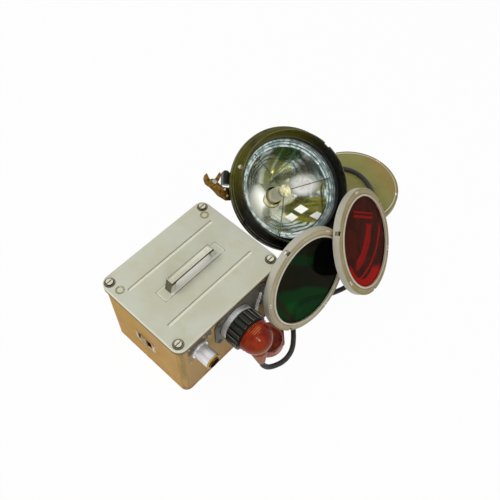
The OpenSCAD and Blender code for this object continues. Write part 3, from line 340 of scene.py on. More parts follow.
# Battery box, in its own frame
LID_TOP = 150
SCREW_AT = (93.8, 71.3)
GROOVE_Y = 41.4
GROOVE_HALF = 84.5
HANDLE_PLATE = (60.0, 10.7)
GRIP_HALF = 47
GRIP_HEIGHT = 165
LOOP_Z = 75.0
LOOP_HALF = (19.0, 14.0)
BRIDGE_HALF = (15.5, 10.5)
SOCKET_LENGTH = 27.8
STAINS = [(-91.6, 51.2), (85.2, 57.9)]


def lid_marks(s, colour):
    """Yellowed patches, rusty rings and a dark ring round each washer; painted shade and highlight
    along the grooves and the handle plate's outline, a painted pale strip in the handle's shadow,
    painted shade on the lower skirt, and a painted highlight along the top edge.
    """
    place = s.local(BOX)
    along = s.absolute(s.along(BOX_MIDDLE, RIGHT))
    across = s.along(BOX_MIDDLE, BACK)
    height = s.along(BOX_MIDDLE, UP)
    colour = s.paint(colour, (206, 202, 156), s.ramp(s.noise(34, 4, 0.6, 0.5), 0.52, 0.72), 0.45)
    breaks = s.ramp(s.noise(3, 4), 0.3, 0.5)
    for stain in STAINS:
        ring = s.band(s.away(place, stain), 5.6, 1.0, 1.0)
        colour = s.paint(colour, (146, 132, 76), ring, breaks, 0.85)
    from_screw = s.away(s.vector("ABSOLUTE", place), SCREW_AT)
    colour = s.paint(colour, (92, 86, 62), s.band(from_screw, 8.0, 0.4, 0.4), 0.7)
    on_groove = s.ramp(along, GROOVE_HALF, GROOVE_HALF - 1.5)
    for y in (-GROOVE_Y, GROOVE_Y):
        # Painted shade on each groove's back slope, and a painted highlight on its front slope.
        dark, light = s.band(across, y + 1.7, 0.95, 0.4), s.band(across, y - 1.2, 0.8, 0.7)
        colour = s.paint(colour, (92, 89, 60), dark, on_groove)
        colour = s.paint(colour, (252, 253, 244), light, on_groove, 0.85)
    off_plate = s.outside(along, across, HANDLE_PLATE)
    # Painted shade and highlight along the handle plate's pressed outline.
    colour = s.paint(colour, (132, 130, 104), s.band(off_plate, 0, 0.5, 0.5), 0.5)
    colour = s.paint(colour, (240, 240, 226), s.band(off_plate, -1.4, 0.5, 0.5), 0.6)
    # Painted shade along the handle plate's front edge.
    front_edge_shade = s.band(across, -HANDLE_PLATE[1], 0.6, 0.5)
    colour = s.paint(colour, (98, 94, 68), front_edge_shade, s.ramp(along, 54, 50), 0.9)
    # Painted light: a pale strip where the handle casts its shadow.
    lit_strip_under_grip = s.times(s.band(across, -3, 6.5, 0.8), s.ramp(along, GRIP_HALF, GRIP_HALF - 1))
    colour = s.paint(colour, (252, 252, 250), lit_strip_under_grip, 0.9)
    # Painted shade on the lower skirt, and a painted highlight along the rounded top edge.
    colour = s.paint(colour, (108, 82, 18), s.ramp(height, LID_TOP - 4.5, LID_TOP - 6.5), 0.95)
    return s.paint(colour, (250, 249, 230), s.band(height, LID_TOP - 2.3, 1.5, 0.8), 0.85)


def handle_marks(s, colour):
    """Painted light on the front face with painted shade along its top bar, dark ends in painted
    shade, an olive back bevel, thin dark lines along the top, mottling and darker edges.
    """
    across = s.along(BOX_MIDDLE, BACK)
    # Painted light on the front face, and painted shade along the bar at its top.
    front = s.ramp(s.facing(FRONT), 0.8, 0.97)
    colour = s.paint(colour, (190, 192, 176), front, 0.7)
    on_bar = s.ramp(s.along(BOX_MIDDLE, UP), GRIP_HEIGHT - 1.5, GRIP_HEIGHT)
    colour = s.paint(colour, (58, 54, 34), front, on_bar)
    # Olive back bevel, and painted shade on the dark ends.
    colour = s.paint(colour, (142, 140, 98), s.ramp(s.facing(BACK), 0.5, 0.75), 0.7)
    colour = s.paint(colour, (88, 84, 60), s.ramp(s.absolute(s.facing(RIGHT)), 0.5, 0.9), 0.95)
    for y, half, soft in ((3.1, 0.35, 0.4), (5.6, 0.4, 0.3)):
        colour = s.paint(colour, (92, 86, 54), s.band(across, y, half, soft), 0.75)
    colour = s.paint(colour, (170, 166, 140), s.ramp(s.noise(4, 6, 0.7), 0.55, 0.65), 0.4)
    return s.paint(colour, (84, 80, 56), s.edges(0.8, 0.01, 0.1), 0.55)


def case_marks(s, colour):
    """Painted golden light on the left face, painted shade on the duller front and under the lid, a
    worn corner, rust and chips along the bottom, and painted shade in the strap pockets.
    """
    along = s.absolute(s.along(BOX_MIDDLE, RIGHT))
    depth = s.along(BOX_MIDDLE, BACK)
    height = s.along(BOX_MIDDLE, UP)
    left, front = s.facing(LEFT), s.facing(FRONT)
    colour = s.paint(colour, (210, 170, 124), s.ramp(s.noise(50, 4, 0.6, 1.0), 0.42, 0.6), 0.4)
    # Painted light: golden on the left face; painted shade: duller on the front face.
    golden = s.times(s.ramp(height, 60, 130), s.ramp(depth, -40, 60), s.ramp(left, 0.5, 0.9))
    colour = s.paint(colour, (204, 168, 84), golden, 0.7)
    colour = s.paint(colour, (190, 162, 118), s.ramp(front, 0.5, 0.95), 0.8)
    streaks = s.ramp(s.noise(7, 6, 0.7, 0.5, (1, 1, 0.12)), 0.38, 0.58)
    colour = s.paint(colour, (150, 134, 88), s.ramp(s.times(left, front), 0.12, 0.42), streaks, 0.8)
    # Painted shade under the lid's overhang.
    colour = s.paint(colour, (92, 66, 34), s.ramp(height, 128, 141), 0.75)
    rust = s.ramp(s.noise(10, 6, 0.7), 0.46, 0.6)
    colour = s.paint(colour, (186, 92, 44), s.ramp(height, 20, 4), rust, 0.75)
    chips = s.ramp(s.noise(4, 4, 0.7), 0.56, 0.62)
    colour = s.paint(colour, (72, 46, 30), s.ramp(height, 8, 4), chips)
    # Painted shade in the strap pockets.
    pocket = s.times(s.ramp(along, 101.4, 100.2), s.ramp(s.absolute(depth), 40, 36))
    colour = s.paint(colour, (36, 22, 10), pocket, 0.95)
    off_loop = s.outside(depth, s.maths("SUBTRACT", height, LOOP_Z), LOOP_HALF)
    chipped = s.times(s.band(off_loop, 1.2, 0.7, 0.6), s.ramp(s.noise(6, 4), 0.36, 0.5))
    colour = s.paint(colour, (240, 236, 214), chipped, s.ramp(height, 84, 76), 0.9)
    scratch = s.ramp(s.noise(4, 5, 0.7, 1.5, (1, 1, 0.4)), 0.56, 0.62)
    near_loop = s.times(s.band(depth, -21, 6, 3), s.band(height, 66, 6, 3))
    return s.paint(colour, (70, 48, 26), scratch, near_loop)


def loop_marks(s, colour):
    """Strap loops: painted shade inside the pocket, tan on the bridge, and a chipped bright edge.
    """
    out = s.absolute(s.along(BOX_MIDDLE, RIGHT))
    depth = s.along(BOX_MIDDLE, BACK)
    height = s.along(BOX_MIDDLE, UP)
    # Painted shade inside the pocket.
    colour = s.paint(colour, (26, 16, 8), s.ramp(out, 102.6, 101.8), 0.95)
    edge = s.ramp(s.outside(depth, s.maths("SUBTRACT", height, LOOP_Z), BRIDGE_HALF), 0, 1)
    breaks = s.ramp(s.noise(7, 3), 0.3, 0.5)
    return s.paint(colour, (238, 234, 214), edge, breaks, s.ramp(height, 82, 74))


def screw_marks(s, colour):
    """Lid screws and their washers: dark rings round the head and the washer, and painted shade in
    the slot.
    """
    away = s.away(s.vector("ABSOLUTE", s.local(BOX)), SCREW_AT)
    for radius, half in ((5.9, 0.5), (7.8, 0.6)):
        colour = s.paint(colour, (52, 48, 28), s.band(away, radius, half, 0.4), 0.95)
    # Painted shade in the slot.
    slot_shade = s.ramp(s.along(BOX_MIDDLE, UP), LID_TOP + 2.9, LID_TOP + 2.5)
    return s.paint(colour, (60, 56, 36), slot_shade, s.ramp(away, 5, 4.6))


def label_marks(s, colour):
    """Blank plates: painted over below, dark above the charging socket."""
    return s.paint(colour, (74, 64, 44), s.ramp(s.along(BOX_MIDDLE, UP), 112, 116), 0.9)


def socket_marks(s, colour):
    """Brass at the charging socket's open end."""
    out = s.along(PLUG.translation, FRONT)
    return s.paint(colour, (190, 152, 78), s.ramp(out, SOCKET_LENGTH - 0.6, SOCKET_LENGTH))


# Coupling ring: radii of the ground between its ribs and of their tops
RIB_FOOT = 30.0
RIB_TOP = 31.0


def ring_marks(s, colour):
    """Coupling ring: painted shade between the ribs, painted highlights along their flanks, dark
    grey on top.
    """
    radius = s.away(s.local(PLUG))
    # Painted shade between the ribs, and painted highlights along their flanks.
    colour = s.paint(colour, (6, 6, 5), s.ramp(radius, RIB_FOOT, RIB_FOOT - 0.3))
    worn = s.ramp(s.noise(8, 4, 0.6, 0.0, (1, 0.2, 1)), 0.3, 0.55)
    colour = s.paint(colour, (176, 176, 164), s.band(radius, 30.55, 0.45, 0.2), worn, 0.9)
    return s.paint(colour, (58, 58, 50), s.ramp(radius, RIB_TOP, RIB_TOP + 0.15), worn, 0.6)


def dome_marks(s, colour):
    """Plug dome: painted highlights as bright streaks along its beads and a white spot, and painted
    orange-brown light on its lower side.
    """
    # Painted highlights along the beads and a white one, then painted orange-brown light on the
    # lower side.
    lit = s.ramp(s.facing(towards(-0.09, 0.62, 0.78)), 0.91, 0.965)
    rows = s.ramp(s.maths("SINE", s.times(s.along(PLUG.translation, FRONT), 2.1)), 0.0, 0.7)
    colour = s.paint(colour, (226, 130, 76), lit, rows, 0.9)
    highlight_spot = s.ramp(s.facing(towards(0.15, 0.03, 0.988)), 0.9955, 0.999)
    colour = s.paint(colour, (255, 226, 204), highlight_spot)
    return s.paint(colour, (140, 74, 26), s.ramp(s.facing(towards(0.3, -0.95, 0)), 0.45, 0.8), 0.6)


# Radii of the painted highlight lines along the lamp's rim, and of the dark lines on its stepped
# ring
RIM_HIGHLIGHT_LINES = (88.9, 96.8, 99.6)
STEP_LINES = (73.9, 77.6, 81.0)


def lamp_marks(s, colour):
    """Painted olive sheen at the upper left, painted highlight lines along the rim, and a painted
    white glint at one notch.
    """
    high = s.along(LIP_MIDDLE, towards(-0.62, 0.78, 0))
    front = s.ramp(s.along(LIP_MIDDLE, LAMP.col[2].xyz), -52, -40)
    # Painted olive sheen on the upper left of the lamp's front.
    sheen = s.times(s.ramp(high, 12, 92), s.ramp(s.noise(34, 2), 0.2, 0.5), front)
    colour = s.paint(colour, (98, 95, 16), sheen, 0.9)
    radius = s.away(s.local(LAMP))
    broken = s.ramp(s.noise(12, 3), 0.3, 0.55)
    # Painted highlight lines along the rim's ridges.
    for line in RIM_HIGHLIGHT_LINES:
        colour = s.paint(colour, (134, 130, 98), s.band(radius, line, 0.35, 0.45), broken, 0.6)
    # Painted white glint at a notch in the hood.
    notch = s.oval(s.local(seen_frame(LIP_MIDDLE)), (-85.5, 27.5), (5.0, 3.4), 0.12)
    turned = s.ramp(s.facing(towards(0, 0, 1)), 0.5, 0.6)
    return s.paint(colour, (250, 250, 246), notch, front, turned)


# Tilt and heading of the filters, and the radii of the three discs' beads, creases and edges
GREEN_LEAN = (73.0, -91.7)
RED_LEAN = (59.3, -70.3)
FILTER_BEAD, FILTER_CREASE = 76.2, 78.2
COVER_BEAD, COVER_CREASE = 83.0, 81.0
DISC_EDGE = 85.8


def pan_marks(matrix, wall, bead, crease):
    """Marks of a disc: pale side wall, a painted highlight on the bead, painted shade in the
    crease, a dark edge, and a warmer right.
    """
    def marks(s, colour):
        radius = s.away(s.local(matrix))
        colour = s.paint(colour, wall, s.ramp(s.facing(matrix.col[2].xyz), 0.6, 0.2), 0.85)
        # Painted highlight on the bead, and painted shade in the crease.
        colour = s.paint(colour, (238, 234, 216), s.band(radius, bead, 1.0, 0.5), 0.9)
        colour = s.paint(colour, (86, 78, 56), s.band(radius, crease, 0.25, 0.5), 0.7)
        warm = s.ramp(s.along(matrix.translation, towards(0.9, 0.44, 0)), 30, 84)
        colour = s.paint(colour, (176, 138, 74), warm, 0.5)
        return s.paint(colour, (112, 104, 78), s.band(radius, DISC_EDGE, 0.3, 0.7), 0.45)
    return marks


def worked_metal(name, light, dark, roughness, size=3.0, stretch=(1, 1, 1), stain=None, marks=None):
    """Bare metal with fine tool marks, duller patches and dirt."""
    s = Surface(name, roughness, metallic=1.0)
    grain = s.noise(size, 5, 0.6, 0.0, stretch)
    patch = s.ramp(s.noise(14, 5), 0.42, 0.7)
    colour = s.mix(s.ramp(grain, 0.3, 0.7), dark, light)
    if stain:
        colour = s.paint(colour, stain, patch, 0.6)
    if marks:
        colour = marks(s, colour)
    s.colour(colour)
    s.rough(roughness, patch, 0.18)
    s.bump(grain, 0.06)
    return s.material


def moulded(name, light, dark, roughness, swirl=9.0, shine=0.3, dust=None, edge_highlight=None, marks=None):
    """Moulded resin or rubber: cloudy colour under a skin with faint pits."""
    s = Surface(name, roughness, Specular_IOR_Level=shine)
    colour = s.mix(s.ramp(s.noise(swirl, 5, 0.6, 1.2), 0.32, 0.7), light, dark)
    if dust:
        colour = s.paint(colour, dust, s.ramp(s.noise(5, 6, 0.7), 0.55, 0.8))
    # Painted highlight along the edges, when given.
    if edge_highlight:
        edge = s.times(s.edges(1.3, 0.01, 0.2), s.ramp(s.noise(9, 3), 0.3, 0.6))
        colour = s.paint(colour, edge_highlight, edge, 0.8)
    if marks:
        colour = marks(s, colour)
    s.colour(colour)
    s.rough(roughness - 0.04, s.noise(6), 0.16)
    s.bump(s.noise(0.9, 3), 0.05)
    return s.material


def clear(name, tint, dust, alpha):
    """Thin clear glass as a see-through gloss layer with faint dust."""
    polish = 0.02
    s = Surface(name, polish, Alpha=alpha)
    s.colour(s.mix(s.ramp(s.noise(18, 5), 0.5, 0.8), tint, dust))
    s.rough(polish, s.noise(9), 0.05)
    return s.material


def coloured_glass(name, pattern, through):
    """Dense coloured glass, seen through, with darker drifts and zones of painted reflection, and
    slight waviness.
    """
    s = Surface(name, 0.03, IOR=1.06, Transmission_Weight=through)
    s.colour(pattern(s))
    s.bump(s.noise(40, 2), 0.08)
    return s.material


def green_pattern(s):
    """Painted reflections: brown-black middle, green above and below it, a brown streak, and a
    near-black corner.
    """
    middle = centre("green_glass")
    place = s.wavy(s.local(seen_frame(middle)), 40, 10)
    colour = s.mix(s.ramp(s.noise(30, 4, 0.6, 0.6), 0.4, 0.62), (34, 32, 16), (22, 30, 16))
    colour = s.paint(colour, (16, 52, 24), s.oval(place, (-12, 30), (22, 8), 0.25))
    colour = s.paint(colour, (16, 62, 24), s.oval(place, (-4, -38), (60, 26), 0.12))
    colour = s.paint(colour, (18, 78, 28), s.oval(place, (-22, -44), (14, 10), 0.5))
    off_streak = s.absolute(s.along(middle + towards(-36, -46, 0) * MM, towards(0.8, 0.6, 0)))
    colour = s.paint(colour, (52, 36, 20), s.ramp(off_streak, 5, 2.5), 0.75)
    return s.paint(colour, (6, 10, 7), s.oval(place, (38, 33), (31, 31), 0.06))


def red_pattern(s):
    """Brown-red glass with painted reflections: brighter bars near the top, a curved wedge, and a
    bright lower edge.
    """
    middle = centre("red_glass")
    plain = s.local(seen_frame(middle))
    place = s.wavy(plain, 34, 7)
    up = s.along(middle, towards(0, 1, 0))
    right = s.along(middle, towards(1, 0, 0))
    bright = (176, 22, 12)
    colour = s.mix(s.ramp(s.noise(26, 4, 0.6, 0.8), 0.4, 0.62), (88, 28, 8), (68, 22, 6))
    bars = s.larger(s.band(up, 47, 1.0, 0.8), s.band(up, 40, 1.6, 0.8))
    colour = s.paint(colour, bright, bars, s.ramp(right, -24, -21), s.ramp(right, 20, 16))
    low = s.times(s.ramp(up, 32, 26), s.ramp(right, -20, -12))
    wedge = s.band(s.share(place, (-61, 29), (73, 91)), 0.98, 0.06, 0.03)
    colour = s.paint(colour, bright, wedge, low, 0.9)
    line = s.band(s.share(place, (-52, 36), (84, 110)), 1.02, 0.012, 0.012)
    colour = s.paint(colour, bright, line, low)
    foot = s.ramp(s.share(plain, (-4, 6), (30, 66)), 1.0, 1.06)
    return s.paint(colour, (190, 24, 14), foot, s.ramp(up, -36, -48))


# Painted reflections in the reflector, placed in the seen frame: middle, reach, softness, colour
# and strength
BULB_GLARE = (18, 9)
LEFT_LOBE = (-60, -26)
DRIFTING_REFLECTIONS = [
    ((-28, 22), (24, 32), 0.4, (120, 128, 74), 0.8),
    ((-9, 59), (27, 12), 0.25, (56, 88, 48), 0.97),
    ((24, 40), (20, 14), 0.35, (92, 88, 84), 0.85),
    ((25, -32), (42, 22), 0.12, (150, 142, 62), 0.99),
    ((43, 5), (11, 12), 0.3, (208, 206, 134), 0.8),
]
CRISP_REFLECTIONS = [
    ((-12, 31), (10, 14), 0.3, (222, 220, 160), 0.9),
    (BULB_GLARE, (23, 17), 0.55, (255, 255, 255), 1.0),
    (LEFT_LOBE, (17, 30), 0.25, (246, 250, 248), 0.95),
    ((-45, -42), (7, 16), 0.4, (96, 98, 84), 0.7),
    ((-36, -16), (14, 14), 0.05, (92, 80, 44), 0.85),
    ((-36, -16), (11.5, 11.5), 0.12, (246, 236, 192), 0.95),
    ((-21, -15), (7, 8), 0.2, (232, 214, 150), 0.9),
]
CEILING_LAMP_REFLECTIONS = [((13, -32), (12, 8)), ((-3, -45.5), (11, 7.5)), ((38, -44), (12, 7.5))]
REFLECTED_LAMP_WHITE = (255, 255, 252.74)


def silvered(name):
    """Old silvered reflector, with painted reflections: yellow, green and hazy patches round a
    bright one, three squares of reflected ceiling lamps, and pale and sea-green bands towards its
    edge.
    """
    s = Surface(name, 0.04)
    seen = s.local(seen_frame(LIP_MIDDLE))
    crisp = s.wavy(seen, 16, 4)
    drifting = s.wavy(seen, 30, 16)
    mottle = s.ramp(s.noise(5, 6, 0.7, 0.4), 0.4, 0.62)
    colour = s.mix(s.ramp(s.noise(20, 5, 0.6, 0.8), 0.45, 0.7), (232, 238, 228), (190, 196, 172))
    radius = s.away(s.wavy(s.local(LAMP), 30, 16))
    waves = s.ramp(s.maths("SINE", s.times(radius, 0.95)), -0.4, 0.5)
    outer = s.mix(waves, (104, 124, 118), (232, 240, 238))
    colour = s.mix(s.ramp(radius, 46, 54), colour, outer)
    for place, patches in ((drifting, DRIFTING_REFLECTIONS), (crisp, CRISP_REFLECTIONS)):
        for middle, reach, fade, tone, amount in patches:
            colour = s.paint(colour, tone, s.oval(place, middle, reach, fade), amount)
    mottled = s.times(mottle, s.oval(drifting, (10, 28), (40, 30), 0.3))
    colour = s.paint(colour, (150, 142, 120), mottled, 0.35)
    lobe = s.times(s.oval(crisp, LEFT_LOBE, (16, 28), 0.5), 0.75)
    bright = s.larger(s.oval(crisp, BULB_GLARE, (22, 16), 0.4), lobe)
    # Painted reflections of three ceiling lamps, made less metallic with the other bright patches
    # so that their white shows.
    for middle, reach in CEILING_LAMP_REFLECTIONS:
        offset = s.vector("ABSOLUTE", s.vector("SUBTRACT", seen, (*middle, 0)))
        lamp = s.ramp(s.vector("DOT_PRODUCT", offset, (1 / reach[0], 1 / reach[1], 0)), 1.12, 0.9)
        colour = s.paint(colour, REFLECTED_LAMP_WHITE, lamp)
        bright = s.larger(bright, lamp)
    s.colour(colour)
    s.metal(s.maths("SUBTRACT", 0.84, s.times(bright, 0.74)))
    s.rough(0.03, mottle, 0.08)
    s.bump(s.noise(16, 2), 0.04)
    return s.material


def bright_steps(name):
    """Bright ring round the bowl: white and sea-green bands of painted reflection, with a few dark
    lines.
    """
    s = Surface(name, 0.06, metallic=1.0)
    radius = s.away(s.local(LAMP))
    colour = s.mix(s.ramp(s.noise(9, 3, 0.5), 0.42, 0.6), (206, 218, 216), (138, 160, 156))
    for line in STEP_LINES:
        colour = s.paint(colour, (84, 98, 92), s.band(radius, line, 0.25, 0.45), 0.7)
    s.colour(colour)
    s.rough(0.05, s.noise(12), 0.12)
    s.bump(s.noise(18, 2), 0.1)
    return s.material


def make_materials():
    steel, pale_wall, primer = (206, 202, 190), (204, 203, 190), (226, 220, 196)
    turned = {
        "light": (240, 240, 240), "dark": (206, 207, 208), "roughness": 0.42,
        "size": 1.6, "stretch": (1, 0.1, 1),
    }
    red_brown = {
        "light": (164, 56, 20), "dark": (126, 32, 8), "roughness": 0.2,
        "swirl": 26.0, "shine": 0.12,
    }
    green_frame = tilted_frame(centre("green_glass"), *GREEN_LEAN)
    red_frame = tilted_frame(centre("red_glass"), *RED_LEAN)
    cover_frame = tilted_frame(centre("cover_disc"), 0, 0)
    return {
        "tan": enamel(
            "tan_paint", (214, 174, 102), (198, 157, 92), (96, 72, 42),
            roughness=0.6, chips=0.72, shine=0.03, marks=case_marks,
        ),
        "loop": enamel(
            "loop_paint", (190, 158, 96), (160, 128, 74), primer, chips=0.6, marks=loop_marks,
        ),
        "label": enamel(
            "label_paint", (172, 138, 84), (150, 118, 72), primer, chips=0.72, marks=label_marks,
        ),
        "lid": enamel(
            "lid_paint", (219, 222, 206), (212, 212, 190), (236, 232, 210),
            chips=0.76, edge_size=0, marks=lid_marks,
        ),
        "handle": enamel(
            "handle_paint", (246, 245, 228), (226, 224, 202), (120, 116, 92),
            roughness=0.35, marks=handle_marks,
        ),
        "green_rim": enamel(
            "green_filter_paint", (206, 196, 166), (186, 174, 140), steel, roughness=0.38,
            marks=pan_marks(green_frame, pale_wall, FILTER_BEAD, FILTER_CREASE),
        ),
        "red_rim": enamel(
            "red_filter_paint", (186, 172, 128), (164, 148, 96), steel, roughness=0.38,
            marks=pan_marks(red_frame, pale_wall, FILTER_BEAD, FILTER_CREASE),
        ),
        "cover": enamel(
            "cover_paint", (160, 158, 94), (142, 138, 76), (200, 196, 160), roughness=0.4,
            marks=pan_marks(cover_frame, (150, 150, 118), COVER_BEAD, COVER_CREASE),
        ),
        "black": enamel(
            "black_enamel", (22, 22, 16), (13, 13, 10), (104, 100, 66),
            roughness=0.22, chips=0.9, edge_size=0, wave=0.12, shine=0.28, marks=lamp_marks,
        ),
        "plate": enamel(
            "plate_paint", (98, 96, 82), (70, 68, 56), (150, 146, 134), roughness=0.4,
        ),
        "washer": worked_metal(
            "washer_steel", (214, 210, 186), (166, 160, 134), 0.4, marks=screw_marks,
        ),
        "screw": worked_metal(
            "screw_steel", (232, 228, 208), (190, 184, 160), 0.36, marks=screw_marks,
        ),
        "wire": worked_metal("dark_wire", (96, 94, 66), (44, 46, 32), 0.4),
        "steel": worked_metal(
            "bright_steel", (196, 192, 178), (140, 134, 118), 0.32, stain=(112, 98, 70),
        ),
        "rivet": worked_metal("bright_rivets", (250, 249, 244), (226, 222, 212), 0.42),
        "aluminium": worked_metal("aluminium", **turned),
        "socket": worked_metal("socket_aluminium", **turned, marks=socket_marks),
        "brass": worked_metal(
            "aged_brass", (150, 114, 50), (70, 50, 20), 0.34, size=5.0, stain=(30, 22, 10),
        ),
        "cream": moulded("pale_shield", (186, 182, 148), (104, 98, 58), 0.2, swirl=4.0),
        "gold": worked_metal("bright_brass", (222, 184, 96), (176, 136, 62), 0.28),
        "resin": moulded("red_brown_resin", **red_brown),
        "dome": moulded("dome_resin", **red_brown, marks=dome_marks),
        # A lighter copy of the red-brown resin, as painted light for the shaded dust cap, with
        # painted highlights along its edges.
        "cap": moulded(
            "cap_resin_painted_light", (196, 86, 48), (154, 52, 26), 0.24, swirl=14.0, edge_highlight=(214, 140, 96),
        ),
        "tail": moulded("brown_resin", (168, 98, 56), (132, 68, 34), 0.42),
        "ribbed": moulded("black_resin", (30, 30, 28), (12, 12, 12), 0.3, dust=(60, 60, 56)),
        "ring": moulded(
            "ring_resin", (34, 34, 30), (14, 14, 12), 0.3, shine=0.15, marks=ring_marks,
        ),
        "gasket": moulded("brown_rubber", (96, 72, 22), (64, 46, 14), 0.6, shine=0.1),
        "rubber": moulded("black_rubber", (66, 64, 63), (50, 49, 50), 0.5, dust=(86, 84, 82)),
        "ceramic": moulded("ceramic", (244, 238, 210), (226, 216, 180), 0.35),
        "clear": clear("clear_glass", (30, 38, 36), (80, 88, 84), 0.03),
        "bulb": clear("bulb_glass", (250, 248, 226), (236, 240, 236), 0.5),
        "mirror": silvered("silver_mirror"),
        "steps": bright_steps("bright_steps"),
        "green": coloured_glass("green_glass", green_pattern, 0.4),
        "red": coloured_glass("red_glass", red_pattern, 0.2),
    }


FINISH = {
    "tan": ["case"],
    "loop": ["strap_loops"],
    "label": ["blank_plates"],
    "lid": ["lid"],
    "handle": ["handle"],
    "green_rim": ["green_ring"],
    "red_rim": ["red_ring"],
    "cover": ["cover_disc"],
    "black": ["hood", "rim", "rear_shell", "rear_neck"],
    "plate": ["outlet_plate"],
    "washer": ["lid_washers"],
    "screw": ["lid_screws"],
    "wire": ["spider", "outlet_screws"],
    "steel": ["handle_screws", "key_pin", "key_spring", "plate_rivets"],
    "rivet": ["cap_chain", "key_screws", "green_catches", "red_catches", "cover_catches"],
    "aluminium": ["outlet_collar", "dust_cap_ring"],
    "socket": ["charge_collar"],
    "cream": ["shield"],
    "brass": ["key_strap", "key_plate", "key_lever", "charge_sleeve"],
    "gold": ["outlet_contacts", "charge_contact", "plug_pins", "battery_links"],
    "resin": ["outlet_insert", "cell_caps"],
    "dome": ["plug_shell"],
    "cap": ["dust_cap"],
    "tail": ["plug_tail"],
    "ribbed": ["grip", "key_block", "batteries"],
    "ring": ["coupling_ring"],
    "gasket": ["lid_gasket"],
    "rubber": ["glass_seal", "lead_gland"],
    "ceramic": ["bulb_holder", "bulb_base"],
    "clear": ["front_glass"],
    "bulb": ["bulb_glass"],
    "mirror": ["reflector"],
    "steps": ["stepped_ring"],
    "green": ["green_glass"],
    "red": ["red_glass"],
}


def dress_nodes(materials):
    for finish, nodes in FINISH.items():
        for node in nodes:
            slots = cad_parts[node].data.materials
            slots.clear()
            slots.append(materials[finish])


# Pieces

SHARP_ANGLE = 35
LATHE_SEGMENTS = 192
BEND_STEPS = (0, 0.25, 0.5, 0.75, 1)


def add_piece(name, mesh, body, material, replaces):
    piece = bpy.data.objects.new(name, mesh)
    bpy.context.collection.objects.link(piece)
    mesh.materials.append(material)
    for polygon in mesh.polygons:
        polygon.use_smooth = True
    mesh.set_sharp_from_angle(angle=math.radians(SHARP_ANGLE))
    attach(piece, body)
    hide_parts(*replaces)


def lathe(name, profile, place):
    """Closed outline of (radius, height) points in millimetres, turned round a frame's +Z."""
    def placed(radius, height, angle):
        x, y = radius * math.cos(angle) * MM, radius * math.sin(angle) * MM
        return place @ Vector((x, y, height * MM))
    mesh = bpy.data.meshes.new(name)
    shape = bmesh.new()
    angles = [2 * math.pi * i / LATHE_SEGMENTS for i in range(LATHE_SEGMENTS)]
    rings = [
        [shape.verts.new(placed(radius, height, angle)) for angle in angles]
        for radius, height in profile
    ]
    for one, two in zip(rings, rings[1:] + rings[:1]):
        for i in range(LATHE_SEGMENTS):
            j = (i + 1) % LATHE_SEGMENTS
            shape.faces.new((one[i], one[j], two[j], two[i]))
    bmesh.ops.recalc_face_normals(shape, faces=shape.faces)
    shape.to_mesh(mesh)
    shape.free()
    return mesh


def softened(points, reach):
    """Outline with each inner corner replaced by a small rounded one."""
    shaped = [points[0]]
    for before, corner, after in zip(points, points[1:], points[2:]):
        here = Vector(corner)
        back, ahead = Vector(before) - here, Vector(after) - here
        one = here + back.normalized() * min(reach, back.length / 2)
        two = here + ahead.normalized() * min(reach, ahead.length / 2)
        for t in BEND_STEPS:
            shaped.append(tuple(one * (1 - t) ** 2 + here * 2 * t * (1 - t) + two * t * t))
    return shaped + [points[-1]]


# Reflector, in millimetres back from the hood's lip
BOWL_RADIUS = 70.0
BOWL_HOLE = 15.0
BOWL_TOP = 34.1
BOWL_DEPTH = 56.0
BOWL_WALL = 1.2
BOWL_RINGS = 48
MOUTH_RADIUS = 81.3
MOUTH_DEPTH = 24.1
RING_RADIUS = 85.0
RING_STEPS = 3
STEP_WALL = 1.4
STEP_SOFTNESS = 1.3


def bowl_profile():
    """Parabolic bowl of one wall thickness, open at its bottom for the bulb."""
    face = []
    for i in range(BOWL_RINGS + 1):
        radius = BOWL_HOLE + (BOWL_RADIUS - BOWL_HOLE) * i / BOWL_RINGS
        share = (radius ** 2 - BOWL_HOLE ** 2) / (BOWL_RADIUS ** 2 - BOWL_HOLE ** 2)
        face.append((radius, BOWL_DEPTH * share - BOWL_TOP - BOWL_DEPTH))
    return face + [(radius, height - BOWL_WALL) for radius, height in reversed(face)]


def steps_profile():
    """Ring that goes down in steps from the mouth to the bowl's edge."""
    step = (MOUTH_RADIUS - BOWL_RADIUS) / RING_STEPS
    rise = (BOWL_TOP - MOUTH_DEPTH) / RING_STEPS
    face = [(RING_RADIUS, -MOUTH_DEPTH)]
    back = []
    for i in range(RING_STEPS):
        radius = MOUTH_RADIUS - i * step
        top, foot = -MOUTH_DEPTH - i * rise, -MOUTH_DEPTH - (i + 1) * rise
        face += [(radius, top), (radius, foot)]
        outer = radius + STEP_WALL
        back = [(outer, foot - BOWL_WALL), (outer, top - BOWL_WALL)] + back
    face.append((BOWL_RADIUS, -BOWL_TOP))
    back = [(BOWL_RADIUS, -BOWL_TOP - BOWL_WALL)] + back + [(RING_RADIUS, -MOUTH_DEPTH - BOWL_WALL)]
    return softened(face, STEP_SOFTNESS) + back


def make_reflector(silver, bright):
    """Smooth bowl, and the bright stepped ring round its mouth."""
    bowl = lathe("reflector_bowl", bowl_profile(), LAMP)
    add_piece("reflector_bowl", bowl, "set", silver, ["reflector"])
    steps = lathe("reflector_steps", steps_profile(), LAMP)
    add_piece("reflector_steps", steps, "set", bright, ["stepped_ring"])


